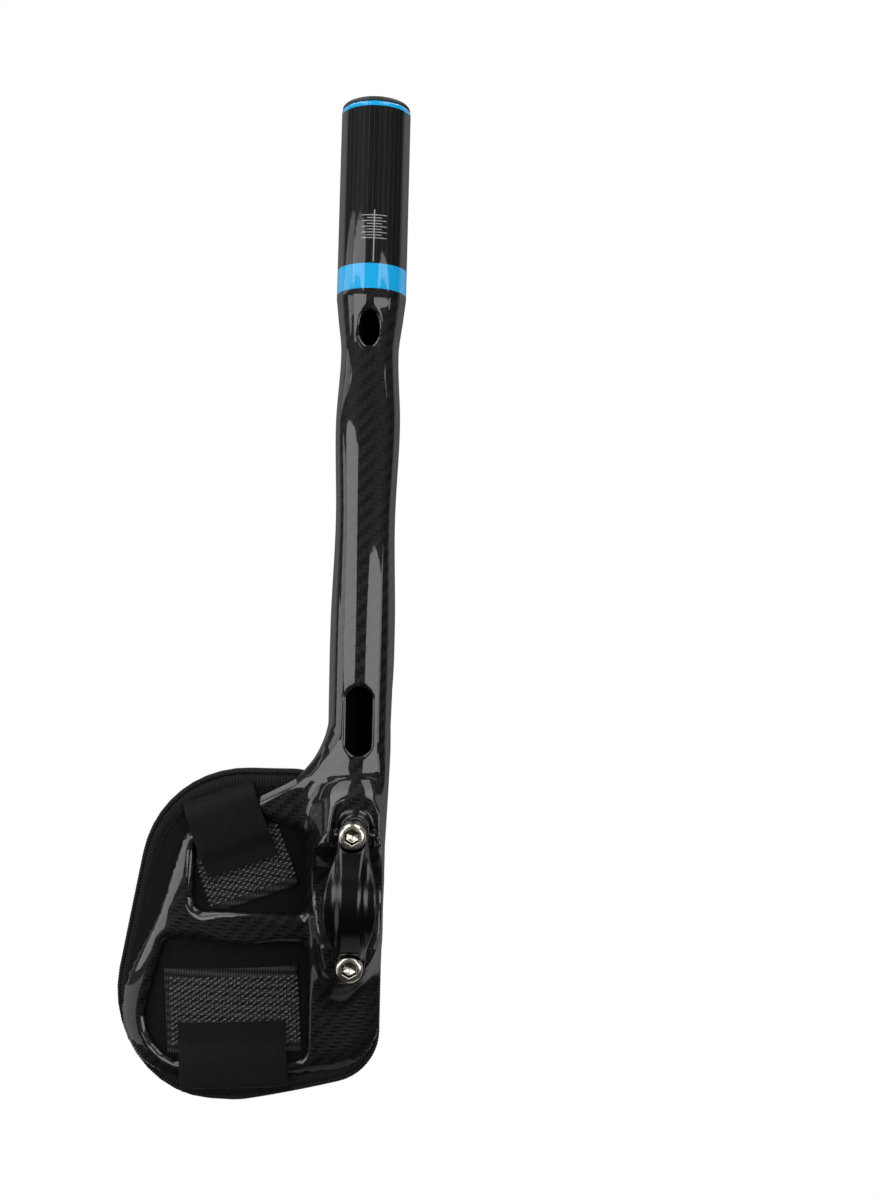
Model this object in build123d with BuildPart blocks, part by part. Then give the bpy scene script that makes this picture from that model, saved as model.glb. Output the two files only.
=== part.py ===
from build123d import *
import os
from math import asin, cos, copysign, degrees, pi, radians, sin, tan

# Clip-on aero handlebar extension with an armrest, right-hand side, in millimetres.
# Origin at the centre of the handlebar clamp. X runs along the handlebar, positive outboard,
# Y runs forward to the grip's tip, and Z is up.

os.makedirs("parts", exist_ok=True)

# Handlebar clamp
bar_d = 31.8
split_gap = 1.5
bolt_pitch = 42.0
saddle_inboard = 9.6
saddle_outboard = 12.5
saddle_front = 24.0
saddle_slope_run = 21.0
saddle_rear_inboard = 19.0
saddle_rear_outboard = 36.0
saddle_rear_run = 8.0
saddle_shoulder = 14.0
saddle_tail_x = 7.0
saddle_top_z = 27.0
saddle_round = 3.0
pocket_width = 12.0
pocket_front = 32.0
pocket_depth = 4.0

# Clamp cap
cap_ear_d = 9.2
cap_ear_seat = 7.0
cap_seat_margin = 0.3
cap_leaf_width = 16.5
cap_leaf_wall = 3.2
cap_rib_wall = 4.8
cap_edge_round = 0.8

# M5 socket head bolts and the threaded inserts that hold them
bolt_d = 5.0
bolt_length = 20.0
bolt_head_d = 8.5
bolt_head_height = 5.0
bolt_head_chamfer = 1.0
bolt_socket = 4.0
bolt_socket_depth = 2.6
bolt_hole_clearance = 0.25
insert_d = 8.0
insert_length = 11.0
insert_relief = 1.5
fit_clearance = 0.05

# Tube, with its sizes at stations along Y
tube_wall = 2.0
tail_y = 4.0
tail_width = 17.0
tail_height = 5.0
tail_z = 23.0
shoulder_y = 24.0
shoulder_width = 21.0
shoulder_height = 14.0
shoulder_z = 24.0
root_y = 46.0
root_width = 21.4
root_height = 21.5
root_z = 26.3
barrel_y = 88.0
barrel_width = 21.9
barrel_height = 23.0
barrel_z = 29.0
waist_y = 123.0
waist_width = 20.2
waist_height = 22.0
waist_z = 31.8
bulge_y = 156.0
bulge_width = 22.0
bulge_height = 21.0
bulge_z = 34.6
neck_y = 181.0
neck_width = 19.8
neck_height = 21.0
neck_z = 37.1
round_section = 2.0
soft_section = 2.2
flat_section = 2.6
section_points = 20
section_spacing = 11.0

# Grip
grip_d = 24.0
grip_y = 200.0
grip_z = 39.0
grip_length = 67.0
grip_tilt = 5.5
flare_length = 7.0
flare_d = 22.4

# Cable openings in the tube's underside
slot_width = 9.3
slot_length = 23.7
slot_y = 55.6
cable_hole_width = 7.8
cable_hole_length = 13.3
cable_hole_y = 188.7
cavity_rear_y = 41.0

# End plug
plug_stem_length = 14.0
plug_inset = 0.2
plug_crown = 2.2
plug_crown_round = 1.6

# Armrest shell, a trough bent round an axis along Y
cup_radius = 110.0
cup_x = 30.0
cup_bottom_z = 19.0
cup_height = 50.0
shell_thickness = 3.0
shell_edge_round = 1.2
shell_inboard = 10.2
shell_inboard_taper = 1.0
shell_rear_inboard = 63.0
shell_rear_outboard = 69.5
shell_outboard = 88.0
shell_corner_x = 59.3
shell_corner_y = 17.5
shell_root_x = 10.6
shell_root_y = 41.0
shell_root_end_y = 66.0
lobe_radius = 17.0
rear_radius = 21.0
corner_radius = 9.0
root_radius = 27.0

# Windows in the shell
window_inboard = 15.5
window_outboard = 54.6
front_window_rear = 9.5
front_window_root_y = 17.0
front_window_peak_x = 34.0
front_window_peak_y = 22.5
front_window_corner_y = 12.5
crossbar = 10.5
rear_window_rear_inboard = 58.6
rear_window_rear_outboard = 62.4
rear_window_corner_x = 64.5
rear_window_outboard = 76.0
window_round = 4.0
rear_window_round = 15.0

# Arm pad
pad_thickness = 10.4
pad_clearance = 0.2
pad_crown_y = -17.5
pad_crown_across = 130.0
pad_crown_along = 480.0
pad_inboard = 6.5
pad_front = 36.4
pad_rear = 71.4
pad_rear_inboard = 63.0
pad_front_inboard_y = 12.0
pad_front_inboard_x = 16.0
pad_outboard_front = 66.0
pad_outboard_rear = 87.0
pad_rear_kink_x = 38.0
pad_front_radius = 36.0
pad_rear_radius = 32.0
pad_inner_radius = 14.0
pad_edge_round = 3.6
binding_width = 2.2
binding_height = 5.0
sewn_clearance = 0.1

# Hook patches and straps
tape_thickness = 1.0
window_clearance = 0.6
front_tape_turn = -21.0
front_strap_width = 25.2
front_strap_center = 33.5
front_strap_start = 45.4
front_strap_rim = 40.2
front_strap_window = 27.4
front_strap_end = 19.0
front_patch_width = 30.4
front_patch_center = 33.2
front_patch_front = 29.4
front_patch_rear = 7.0
rear_tape_turn = -4.0
rear_strap_width = 36.6
rear_strap_center = 44.1
rear_strap_start = -67.4
rear_strap_rim = -63.8
rear_strap_window = -56.2
rear_strap_end = -43.6
rear_patch_width = 45.6
rear_patch_center = 44.0
rear_patch_front = -26.0
rear_patch_rear = -54.6

# Worked out from the sizes above
bar_r = bar_d / 2
split_z = split_gap / 2
bolt_y = bolt_pitch / 2
pad_lift = shell_thickness + pad_clearance
patch_top = pad_lift - sewn_clearance
patch_bottom = patch_top - tape_thickness
stuck_top = patch_bottom - sewn_clearance
stuck_bottom = stuck_top - tape_thickness
under_top = -pad_clearance
under_bottom = under_top - tape_thickness
cut_height = 2 * cup_height
cup_half_width = shell_outboard
cup_reach = 2 * pad_rear
pad_crown_z = cup_bottom_z + pad_lift + pad_thickness
crown_axis_z = pad_crown_z + pad_crown_across
crown_half_angle = degrees(asin(pad_rear / pad_crown_along))
grip_plane = Plane(
    origin=(0, grip_y, grip_z),
    x_dir=(1, 0, 0),
    z_dir=(0, -cos(radians(grip_tilt)), -sin(radians(grip_tilt))),
)
tip_plane = grip_plane.offset(-grip_length)
grip_bore = grip_d - 2 * tube_wall
insert_places = {
    "front_thread_insert": (bolt_y, split_z + pocket_depth),
    "rear_thread_insert": (-bolt_y, split_z),
}
flare_y = grip_y - flare_length
flare_z = grip_z - flare_length * tan(radians(grip_tilt))

# Stations of the tube from its tail to the grip: Y, width, height, height of the middle, squareness
tube_stations = [
    (tail_y, tail_width, tail_height, tail_z, round_section),
    (shoulder_y, shoulder_width, shoulder_height, shoulder_z, soft_section),
    (root_y, root_width, root_height, root_z, soft_section),
    (barrel_y, barrel_width, barrel_height, barrel_z, soft_section),
    (waist_y, waist_width, waist_height, waist_z, flat_section),
    (bulge_y, bulge_width, bulge_height, bulge_z, flat_section),
    (neck_y, neck_width, neck_height, neck_z, soft_section),
    (flare_y, flare_d, flare_d, flare_z, round_section),
    (grip_y, grip_d, grip_d, grip_z, round_section),
]


def tube_section(y):
    """Width, height, height of the middle and squareness of the tube at Y, smooth through its stations."""
    last = len(tube_stations) - 1
    after = next(index for index in range(1, last + 1) if y <= tube_stations[index][0])
    start, end = tube_stations[after - 1], tube_stations[after]
    before, beyond = tube_stations[max(after - 2, 0)], tube_stations[min(after + 1, last)]
    span = end[0] - start[0]
    share = (y - start[0]) / span
    values = []
    for column in range(1, len(start)):
        leave = (end[column] - before[column]) / (end[0] - before[0]) * span
        arrive = (beyond[column] - start[column]) / (beyond[0] - start[0]) * span
        rise = end[column] - start[column]
        bend = leave + arrive - 2 * rise
        curve = leave + share * (3 * rise - 2 * leave - arrive + share * bend)
        values.append(start[column] + share * curve)
    return values


def sections_from(rear_y):
    """Evenly spaced places along the tube, from rear_y to just behind the grip."""
    count = round((grip_y - rear_y) / section_spacing)
    return [rear_y + (grip_y - rear_y) * step / count for step in range(count)]


def station_plane(y, z):
    """Upright plane across the tube, with its local Y up and its normal to the rear."""
    return Plane(origin=(0, y, z), x_dir=(1, 0, 0), z_dir=(0, -1, 0))


def section_curve(width, height, squareness):
    """Points round a rounded section, from its +X side; a squareness of 2 is an ellipse."""
    points = []
    for step in range(section_points):
        angle = 2 * pi * step / section_points
        across = copysign(abs(cos(angle)) ** (2 / squareness), cos(angle))
        up = copysign(abs(sin(angle)) ** (2 / squareness), sin(angle))
        points.append((across * width / 2, up * height / 2))
    return points


def armrest_layer(low, high):
    """Curved sheet between two heights above the shell's underside, bent round the trough's axis."""
    with BuildPart() as layer:
        with BuildSketch(Plane.XZ):
            with Locations((cup_x, cup_bottom_z + cup_radius)):
                Circle(cup_radius - low)
                Circle(cup_radius - high, mode=Mode.SUBTRACT)
            with Locations((cup_x, cup_bottom_z)):
                Rectangle(2 * cup_half_width, 2 * cup_height, mode=Mode.INTERSECT)
        extrude(amount=cup_reach, both=True)
    return layer.part


def shell_outline():
    """Plan of the armrest shell, from the inboard side of the tube round the lobe and the rear."""
    FilletPolyline(
        (shell_inboard_taper - shell_inboard, shell_root_end_y),
        (-shell_inboard, -shell_rear_inboard),
        (shell_outboard, -shell_rear_outboard),
        (shell_corner_x, shell_corner_y),
        (shell_root_x, shell_root_y),
        (shell_root_x, shell_root_end_y),
        radius=[0, lobe_radius, rear_radius, corner_radius, root_radius, 0],
        close=True,
    )


def front_window_outline():
    """Plan of the window ahead of the crossbar."""
    FilletPolyline(
        (window_inboard, -front_window_rear),
        (window_outboard, -front_window_rear),
        (window_outboard, front_window_corner_y),
        (front_window_peak_x, front_window_peak_y),
        (window_inboard, front_window_root_y),
        radius=window_round,
        close=True,
    )


def rear_window_outline():
    """Plan of the window behind the crossbar."""
    FilletPolyline(
        (window_inboard, -front_window_rear - crossbar),
        (window_inboard, -rear_window_rear_inboard),
        (rear_window_outboard, -rear_window_rear_outboard),
        (rear_window_corner_x, -front_window_rear - crossbar),
        radius=[window_round, window_round, rear_window_round, window_round],
        close=True,
    )


def pad_outline():
    """Plan of the arm pad, without its edge binding."""
    FilletPolyline(
        (-pad_inboard, pad_front_inboard_y),
        (-pad_inboard, -pad_rear_inboard),
        (pad_rear_kink_x, -pad_rear),
        (pad_outboard_rear, -pad_rear),
        (pad_outboard_front, pad_front),
        (pad_front_inboard_x, pad_front),
        radius=[
            pad_inner_radius,
            pad_inner_radius,
            pad_rear_radius,
            pad_rear_radius,
            pad_front_radius,
            pad_inner_radius,
        ],
        close=True,
    )


def tape(turn, center, width, near, far, low, high):
    """A stretch of tape, turned in plan, between two distances along it and two heights."""
    layer = armrest_layer(low, high)
    with BuildPart() as stretch:
        with BuildSketch(Plane.XY.rotated((0, 0, turn))):
            with Locations((center, (near + far) / 2)):
                Rectangle(width, abs(far - near))
        extrude(amount=cut_height)
        add(layer, mode=Mode.INTERSECT)
    return stretch.part


def strap_stretches(turn, center, width, start, rim, window, end):
    """A strap's five stretches: sewn end, drop, run under the rim, rise and stuck end."""
    ahead = copysign(tape_thickness, start)
    return [
        tape(turn, center, width, start, rim, patch_top - tape_thickness, patch_top),
        tape(turn, center, width, rim + ahead, rim, under_bottom, patch_top),
        tape(turn, center, width, rim + ahead, window - ahead, under_bottom, under_top),
        tape(turn, center, width, window, window - ahead, under_bottom, stuck_top),
        tape(turn, center, width, window, end, stuck_bottom, stuck_top),
    ]


# Armrest frame: the curved shell with its rounded rims and two windows
shell_layer = armrest_layer(0, shell_thickness)
with BuildPart() as armrest_frame:
    with BuildSketch(Plane.XY):
        with BuildLine():
            shell_outline()
        make_face()
        with BuildLine():
            front_window_outline()
        make_face(mode=Mode.SUBTRACT)
        with BuildLine():
            rear_window_outline()
        make_face(mode=Mode.SUBTRACT)
    extrude(amount=cut_height)
    add(shell_layer, mode=Mode.INTERSECT)
    rims = armrest_frame.faces().filter_by(GeomType.CYLINDER)
    rims = rims.filter_by(lambda face: abs(face.radius - cup_radius) < 2 * shell_thickness)
    fillet(rims.edges(), shell_edge_round)

# Saddle between the handlebar and the armrest, flaring up from the split face to the shell
with BuildPart() as saddle_block:
    with BuildSketch(Plane.XY.offset(split_z)):
        with BuildLine():
            Polyline(
                (-saddle_inboard, saddle_front),
                (saddle_inboard, saddle_front),
                (saddle_outboard, saddle_shoulder),
                (saddle_outboard, -saddle_shoulder),
                (saddle_tail_x, -saddle_rear_outboard),
                (-saddle_inboard, -saddle_rear_inboard),
                close=True,
            )
        make_face()
    with BuildSketch(Plane.XY.offset(saddle_top_z)):
        with BuildLine():
            Polyline(
                (-saddle_inboard, saddle_front + saddle_slope_run),
                (saddle_inboard, saddle_front + saddle_slope_run),
                (saddle_outboard, saddle_shoulder + saddle_slope_run),
                (saddle_outboard, -saddle_shoulder - saddle_rear_run),
                (saddle_tail_x, -saddle_rear_outboard - saddle_rear_run),
                (-saddle_inboard, -saddle_rear_inboard - saddle_rear_run),
                close=True,
            )
        make_face()
    loft(ruled=True)
    uprights = saddle_block.edges().filter_by(lambda edge: abs((edge % 0.5).Z) > 0.5)
    fillet(uprights, saddle_round)

# Room above the shell for the pad and its binding
seat_layer = armrest_layer(shell_thickness, cup_height)
with BuildPart() as pad_seat:
    with BuildSketch(Plane.XY):
        with BuildLine():
            pad_outline()
        make_face()
        offset(amount=binding_width + sewn_clearance + pad_clearance)
    extrude(amount=cut_height)
    add(seat_layer, mode=Mode.INTERSECT)

# One carbon moulding: hollow tube, saddle for the handlebar and armrest frame
with BuildPart() as extension_body:
    for y in sections_from(tail_y):
        width, height, z, squareness = tube_section(y)
        with BuildSketch(station_plane(y, z)):
            with BuildLine():
                Spline(*section_curve(width, height, squareness), periodic=True)
            make_face()
    with BuildSketch(grip_plane):
        with BuildLine():
            Spline(*section_curve(grip_d, grip_d, round_section), periodic=True)
        make_face()
    loft()
    with BuildSketch(grip_plane):
        with BuildLine():
            Spline(*section_curve(grip_d, grip_d, round_section), periodic=True)
        make_face()
    extrude(amount=-grip_length)
    add(saddle_block.part)
    add(armrest_frame.part)
    add(pad_seat.part, mode=Mode.SUBTRACT)
    # Hollow of the tube
    for y in sections_from(root_y):
        width, height, z, squareness = tube_section(y)
        with BuildSketch(station_plane(y, z)):
            with BuildLine():
                Spline(
                    *section_curve(width - 2 * tube_wall, height - 2 * tube_wall, squareness),
                    periodic=True,
                )
            make_face()
    with BuildSketch(grip_plane):
        with BuildLine():
            Spline(*section_curve(grip_bore, grip_bore, round_section), periodic=True)
        make_face()
    loft(mode=Mode.SUBTRACT)
    with BuildSketch(station_plane(root_y, root_z)):
        with BuildLine():
            Spline(
                *section_curve(root_width - 2 * tube_wall, root_height - 2 * tube_wall, soft_section),
                periodic=True,
            )
        make_face()
    extrude(amount=root_y - cavity_rear_y, mode=Mode.SUBTRACT)
    with BuildSketch(grip_plane):
        with BuildLine():
            Spline(*section_curve(grip_bore, grip_bore, round_section), periodic=True)
        make_face()
    extrude(amount=-grip_length, mode=Mode.SUBTRACT)
    # Cable slot and cable hole in the underside
    with BuildSketch(Plane.XY):
        with Locations((0, slot_y)):
            SlotOverall(slot_length, slot_width, rotation=90)
    extrude(amount=root_z, mode=Mode.SUBTRACT)
    with BuildSketch(Plane.XY):
        with Locations((0, cable_hole_y)):
            Ellipse(cable_hole_width / 2, cable_hole_length / 2)
    extrude(amount=neck_z, mode=Mode.SUBTRACT)
    # Handlebar groove, pocket for the cap's front ear and bores for the inserts
    with BuildSketch(Plane.YZ):
        Circle(bar_r)
    extrude(amount=cup_reach, both=True, mode=Mode.SUBTRACT)
    with BuildSketch(Plane.XY):
        with Locations((0, pocket_front / 2)):
            SlotOverall(pocket_front, pocket_width, rotation=90)
    extrude(amount=split_z + pocket_depth, mode=Mode.SUBTRACT)
    for y, floor in insert_places.values():
        with BuildSketch(Plane.XY.offset(floor)):
            with Locations((0, y)):
                Circle(insert_d / 2 + fit_clearance)
        extrude(amount=insert_length + insert_relief, mode=Mode.SUBTRACT)
extension_body.part.label = "extension_body"
export_step(extension_body.part, "parts/extension_body.step")

# Cap under the handlebar: a thin flared band and a thicker rib that ends in two bolt ears
with BuildPart() as cap_leaf:
    with BuildSketch(Plane.YZ):
        Circle(bar_r + cap_leaf_wall)
        Circle(bar_r, mode=Mode.SUBTRACT)
        with Locations((0, -cup_height - split_z)):
            Rectangle(2 * cup_height, 2 * cup_height, mode=Mode.INTERSECT)
    extrude(amount=cup_height, both=True)
    with BuildSketch(Plane.XY.offset(-cup_height)):
        with BuildLine():
            side = ThreePointArc((cap_ear_d / 2, bar_r), (cap_leaf_width / 2, 0), (cap_ear_d / 2, -bar_r))
            end = Line(side @ 1, (-cap_ear_d / 2, -bar_r))
            far_side = ThreePointArc(end @ 1, (-cap_leaf_width / 2, 0), (-cap_ear_d / 2, bar_r))
            Line(far_side @ 1, side @ 0)
        make_face()
    extrude(amount=cup_height, mode=Mode.INTERSECT)
with BuildPart() as clamp_cap:
    with BuildSketch(Plane.YZ):
        Circle(bar_r + cap_rib_wall)
        with Locations((0, -split_z - cap_ear_seat / 2)):
            Rectangle(bolt_pitch + cap_ear_d, cap_ear_seat)
        Circle(bar_r, mode=Mode.SUBTRACT)
        with Locations((0, -cup_height - split_z)):
            Rectangle(2 * cup_height, 2 * cup_height, mode=Mode.INTERSECT)
    extrude(amount=cup_height, both=True)
    with BuildSketch(Plane.XY.offset(-cup_height)):
        SlotOverall(bolt_pitch + cap_ear_d, cap_ear_d, rotation=90)
    extrude(amount=cup_height, mode=Mode.INTERSECT)
    rib_back = clamp_cap.faces().filter_by(GeomType.CYLINDER).sort_by(Axis.Z)[0]
    fillet(rib_back.edges().filter_by(GeomType.CIRCLE), cap_edge_round)
    add(cap_leaf.part)
    with BuildSketch(Plane.XY.offset(-split_z - cap_ear_seat)):
        with Locations((0, bolt_y), (0, -bolt_y)):
            Circle(cap_ear_d / 2 + cap_seat_margin)
    extrude(amount=-cup_height, mode=Mode.SUBTRACT)
    with BuildSketch(Plane.XY):
        with Locations((0, bolt_y), (0, -bolt_y)):
            Circle(bolt_d / 2 + bolt_hole_clearance)
    extrude(amount=-cup_height, mode=Mode.SUBTRACT)
clamp_cap.part.label = "clamp_cap"
export_step(clamp_cap.part, "parts/clamp_cap.step")

# Bolts, heads down
for name, y in (("front_clamp_bolt", bolt_y), ("rear_clamp_bolt", -bolt_y)):
    with BuildPart() as clamp_bolt:
        with BuildSketch(Plane.XY.offset(-split_z - cap_ear_seat)):
            with Locations((0, y)):
                Circle(bolt_head_d / 2)
        extrude(amount=-bolt_head_height)
        crown = clamp_bolt.faces().sort_by(Axis.Z)[0]
        chamfer(crown.edges(), bolt_head_chamfer)
        with BuildSketch(Plane.XY.offset(-split_z - cap_ear_seat - bolt_head_height)):
            with Locations((0, y)):
                RegularPolygon(bolt_socket / 2, 6, major_radius=False)
        extrude(amount=bolt_socket_depth, mode=Mode.SUBTRACT)
        with BuildSketch(Plane.XY.offset(-split_z - cap_ear_seat)):
            with Locations((0, y)):
                Circle(bolt_d / 2)
        extrude(amount=bolt_length)
    clamp_bolt.part.label = name
    export_step(clamp_bolt.part, f"parts/{name}.step")

# Threaded inserts, with their threads as plain bores
for name, (y, floor) in insert_places.items():
    with BuildPart() as thread_insert:
        with BuildSketch(Plane.XY.offset(floor)):
            with Locations((0, y)):
                Circle(insert_d / 2)
                Circle(bolt_d / 2 + fit_clearance, mode=Mode.SUBTRACT)
        extrude(amount=insert_length)
    thread_insert.part.label = name
    export_step(thread_insert.part, f"parts/{name}.step")

# Plug in the grip's end, with a domed crown
with BuildPart() as end_plug:
    with BuildSketch(tip_plane):
        Circle(grip_d / 2 - plug_inset)
    extrude(amount=-plug_crown)
    crown = end_plug.faces().sort_by(Axis.Y)[-1]
    fillet(crown.edges(), plug_crown_round)
    with BuildSketch(tip_plane):
        Circle(grip_bore / 2 - fit_clearance)
    extrude(amount=plug_stem_length)
end_plug.part.label = "end_plug"
export_step(end_plug.part, "parts/end_plug.step")

# Room for the forearm over the pad: flatter than the shell's trough and arched lengthwise, so that
# the pad swells in the middle and thins towards its edges
with BuildPart() as pad_crown:
    with BuildSketch(Plane.YZ.offset(cup_x)):
        with BuildLine():
            crown = CenterArc(
                (pad_crown_y, pad_crown_z - pad_crown_along),
                pad_crown_along,
                90 - crown_half_angle,
                2 * crown_half_angle,
            )
            Polyline(
                crown @ 1,
                ((crown @ 1).X, crown_axis_z),
                ((crown @ 0).X, crown_axis_z),
                crown @ 0,
            )
        make_face()
    revolve(axis=Axis((cup_x, pad_crown_y, crown_axis_z), (0, 1, 0)))

# Foam pad on the shell
pad_layer = armrest_layer(pad_lift, cup_height)
with BuildPart() as arm_pad:
    with BuildSketch(Plane.XY):
        with BuildLine():
            pad_outline()
        make_face()
    extrude(amount=cut_height)
    add(pad_layer, mode=Mode.INTERSECT)
    add(pad_crown.part, mode=Mode.SUBTRACT)
    pad_top = arm_pad.faces().filter_by(GeomType.TORUS)
    fillet(pad_top.edges(), pad_edge_round)
arm_pad.part.label = "arm_pad"
export_step(arm_pad.part, "parts/arm_pad.step")

# Binding tape sewn round the pad's lower edge
binding_layer = armrest_layer(pad_lift, pad_lift + binding_height)
with BuildPart() as pad_edge_binding:
    with BuildSketch(Plane.XY):
        with BuildLine():
            pad_outline()
        make_face()
        offset(amount=binding_width + sewn_clearance)
        with BuildSketch(mode=Mode.SUBTRACT):
            with BuildLine():
                pad_outline()
            make_face()
            offset(amount=sewn_clearance)
    extrude(amount=cut_height)
    add(binding_layer, mode=Mode.INTERSECT)
pad_edge_binding.part.label = "pad_edge_binding"
export_step(pad_edge_binding.part, "parts/pad_edge_binding.step")

# Hook tape on the pad's back, inside each window
patch_layer = armrest_layer(patch_bottom, patch_top)
with BuildPart() as front_hook_patch:
    with BuildSketch(Plane.XY.rotated((0, 0, front_tape_turn))):
        with Locations((front_patch_center, (front_patch_front + front_patch_rear) / 2)):
            Rectangle(front_patch_width, front_patch_front - front_patch_rear)
    extrude(amount=cut_height)
    with BuildSketch(Plane.XY):
        with BuildLine():
            front_window_outline()
        make_face()
        offset(amount=-window_clearance)
    extrude(amount=cut_height, mode=Mode.INTERSECT)
    add(patch_layer, mode=Mode.INTERSECT)
front_hook_patch.part.label = "front_hook_patch"
export_step(front_hook_patch.part, "parts/front_hook_patch.step")

with BuildPart() as rear_hook_patch:
    with BuildSketch(Plane.XY.rotated((0, 0, rear_tape_turn))):
        with Locations((rear_patch_center, (rear_patch_front + rear_patch_rear) / 2)):
            Rectangle(rear_patch_width, rear_patch_front - rear_patch_rear)
    extrude(amount=cut_height)
    with BuildSketch(Plane.XY):
        with BuildLine():
            rear_window_outline()
        make_face()
        offset(amount=-window_clearance)
    extrude(amount=cut_height, mode=Mode.INTERSECT)
    add(patch_layer, mode=Mode.INTERSECT)
rear_hook_patch.part.label = "rear_hook_patch"
export_step(rear_hook_patch.part, "parts/rear_hook_patch.step")

# Straps from the pad's edge, round the rim and onto the hook tape
front_stretches = strap_stretches(
    front_tape_turn,
    front_strap_center,
    front_strap_width,
    front_strap_start,
    front_strap_rim,
    front_strap_window,
    front_strap_end,
)
with BuildPart() as front_strap:
    for stretch in front_stretches:
        add(stretch)
front_strap.part.label = "front_strap"
export_step(front_strap.part, "parts/front_strap.step")

rear_stretches = strap_stretches(
    rear_tape_turn,
    rear_strap_center,
    rear_strap_width,
    rear_strap_start,
    rear_strap_rim,
    rear_strap_window,
    rear_strap_end,
)
with BuildPart() as rear_strap:
    for stretch in rear_stretches:
        add(stretch)
rear_strap.part.label = "rear_strap"
export_step(rear_strap.part, "parts/rear_strap.step")
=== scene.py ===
import math

import bmesh
import bpy
import numpy as np
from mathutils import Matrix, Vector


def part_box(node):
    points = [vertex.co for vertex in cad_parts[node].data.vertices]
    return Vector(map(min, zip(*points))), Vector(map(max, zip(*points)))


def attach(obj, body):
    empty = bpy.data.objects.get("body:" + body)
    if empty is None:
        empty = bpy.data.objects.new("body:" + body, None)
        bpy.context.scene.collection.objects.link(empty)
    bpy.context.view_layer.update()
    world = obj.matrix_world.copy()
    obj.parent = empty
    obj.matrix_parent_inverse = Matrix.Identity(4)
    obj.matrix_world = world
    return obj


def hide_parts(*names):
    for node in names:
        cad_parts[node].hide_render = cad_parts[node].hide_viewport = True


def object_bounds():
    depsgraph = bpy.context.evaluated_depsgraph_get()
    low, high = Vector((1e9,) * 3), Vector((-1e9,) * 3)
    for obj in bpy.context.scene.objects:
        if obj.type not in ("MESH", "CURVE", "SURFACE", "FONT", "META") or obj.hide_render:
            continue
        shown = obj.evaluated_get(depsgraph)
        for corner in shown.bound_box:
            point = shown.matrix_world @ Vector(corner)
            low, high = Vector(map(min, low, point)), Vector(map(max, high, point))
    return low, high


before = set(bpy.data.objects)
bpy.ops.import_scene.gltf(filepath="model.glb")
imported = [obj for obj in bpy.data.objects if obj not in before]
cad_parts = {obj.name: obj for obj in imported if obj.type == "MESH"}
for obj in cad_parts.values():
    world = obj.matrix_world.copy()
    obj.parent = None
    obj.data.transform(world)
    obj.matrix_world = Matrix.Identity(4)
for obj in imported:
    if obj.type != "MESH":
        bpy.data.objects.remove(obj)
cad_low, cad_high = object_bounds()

import openvdb
from mathutils import Matrix

# Looks of a carbon clip-on handlebar extension with a padded armrest.
# Sizes are millimetres in the model's own frame; meshes are written in metres.
MM = 0.001

# Handlebar clamp
BAR_RADIUS = 15.9
SPLIT_Z = 0.75
BOLT_Y = 21.0
SADDLE_INBOARD = -9.6
SADDLE_OUTBOARD = 12.5
SADDLE_FRONT = 24.0
SADDLE_FRONT_SLOPE = 0.8
SADDLE_FRONT_BOW = 0.035
SADDLE_FLARE = 0.16
SADDLE_REAR_SLOPE = 0.213
SADDLE_TOP = 27.0
SADDLE_SIDE_ROUND = 3.0
SADDLE_FRONT_ROUND = 7.0
SADDLE_REAR_ROUND = 16.0
SADDLE_CORNER_ROUND = 8.0
SADDLE_FOOT_EDGE = 0.4
SADDLE_TOP_EDGE = 1.0
SADDLE_FILLET = 4.0
BAR_EDGE = 0.6
POCKET_RADIUS = 7.2
POCKET_FRONT = 24.5
POCKET_FLOOR = 4.75
POCKET_LIP = 1.0
POCKET_ROUND = 1.5
POCKET_EDGE = 1.2
ARCH_FLOOR = 10.5
ARCH_BACK = 1.0
ARCH_ROUND = 0.8
INSERT_RADIUS = 4.05
INSERT_DEPTH = 12.5

# Rear faces of the saddle: the way each one faces in plan, and a corner that it passes through
SADDLE_DIAGONAL = ((-0.7155, -0.6987), (SADDLE_INBOARD, -19.0))
SADDLE_TAIL = ((0.970, -0.2425), (SADDLE_OUTBOARD, -14.0))

# Clamp cap
EAR_RADIUS = 4.6
EAR_SEAT = -7.75
LEAF_HALF = 8.25
LEAF_RADIUS = 19.1
LEAF_EDGE = 0.35
LEAF_END_SHARE = -0.4
RIB_HALF = 3.55
RIB_RADIUS = 20.7
RIB_EDGE = 1.2
RIB_FILLET = 2.5
EAR_EDGE = 0.6
EAR_FILLET = 1.5
CAP_EDGE = 0.4
SEAT_RADIUS = 4.9
BOLT_HOLE_RADIUS = 2.75

# Bolts
BOLT_RADIUS = 2.5
BOLT_LENGTH = 20.0
HEAD_RADIUS = 4.25
HEAD_HEIGHT = 5.0
HEAD_CHAMFER = 0.7
SOCKET_HALF = 2.3
SOCKET_DEPTH = 2.6
THREAD_PITCH = 0.8
THREAD_DEPTH = 0.4
THREAD_START = 2
THREAD_STEPS = 5

# A bolt's rings have this many points, and the third band of faces between them is the socket's wall
BOLT_RING_POINTS = 48
SOCKET_WALL_FACES = slice(2 * BOLT_RING_POINTS, 3 * BOLT_RING_POINTS)

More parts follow.
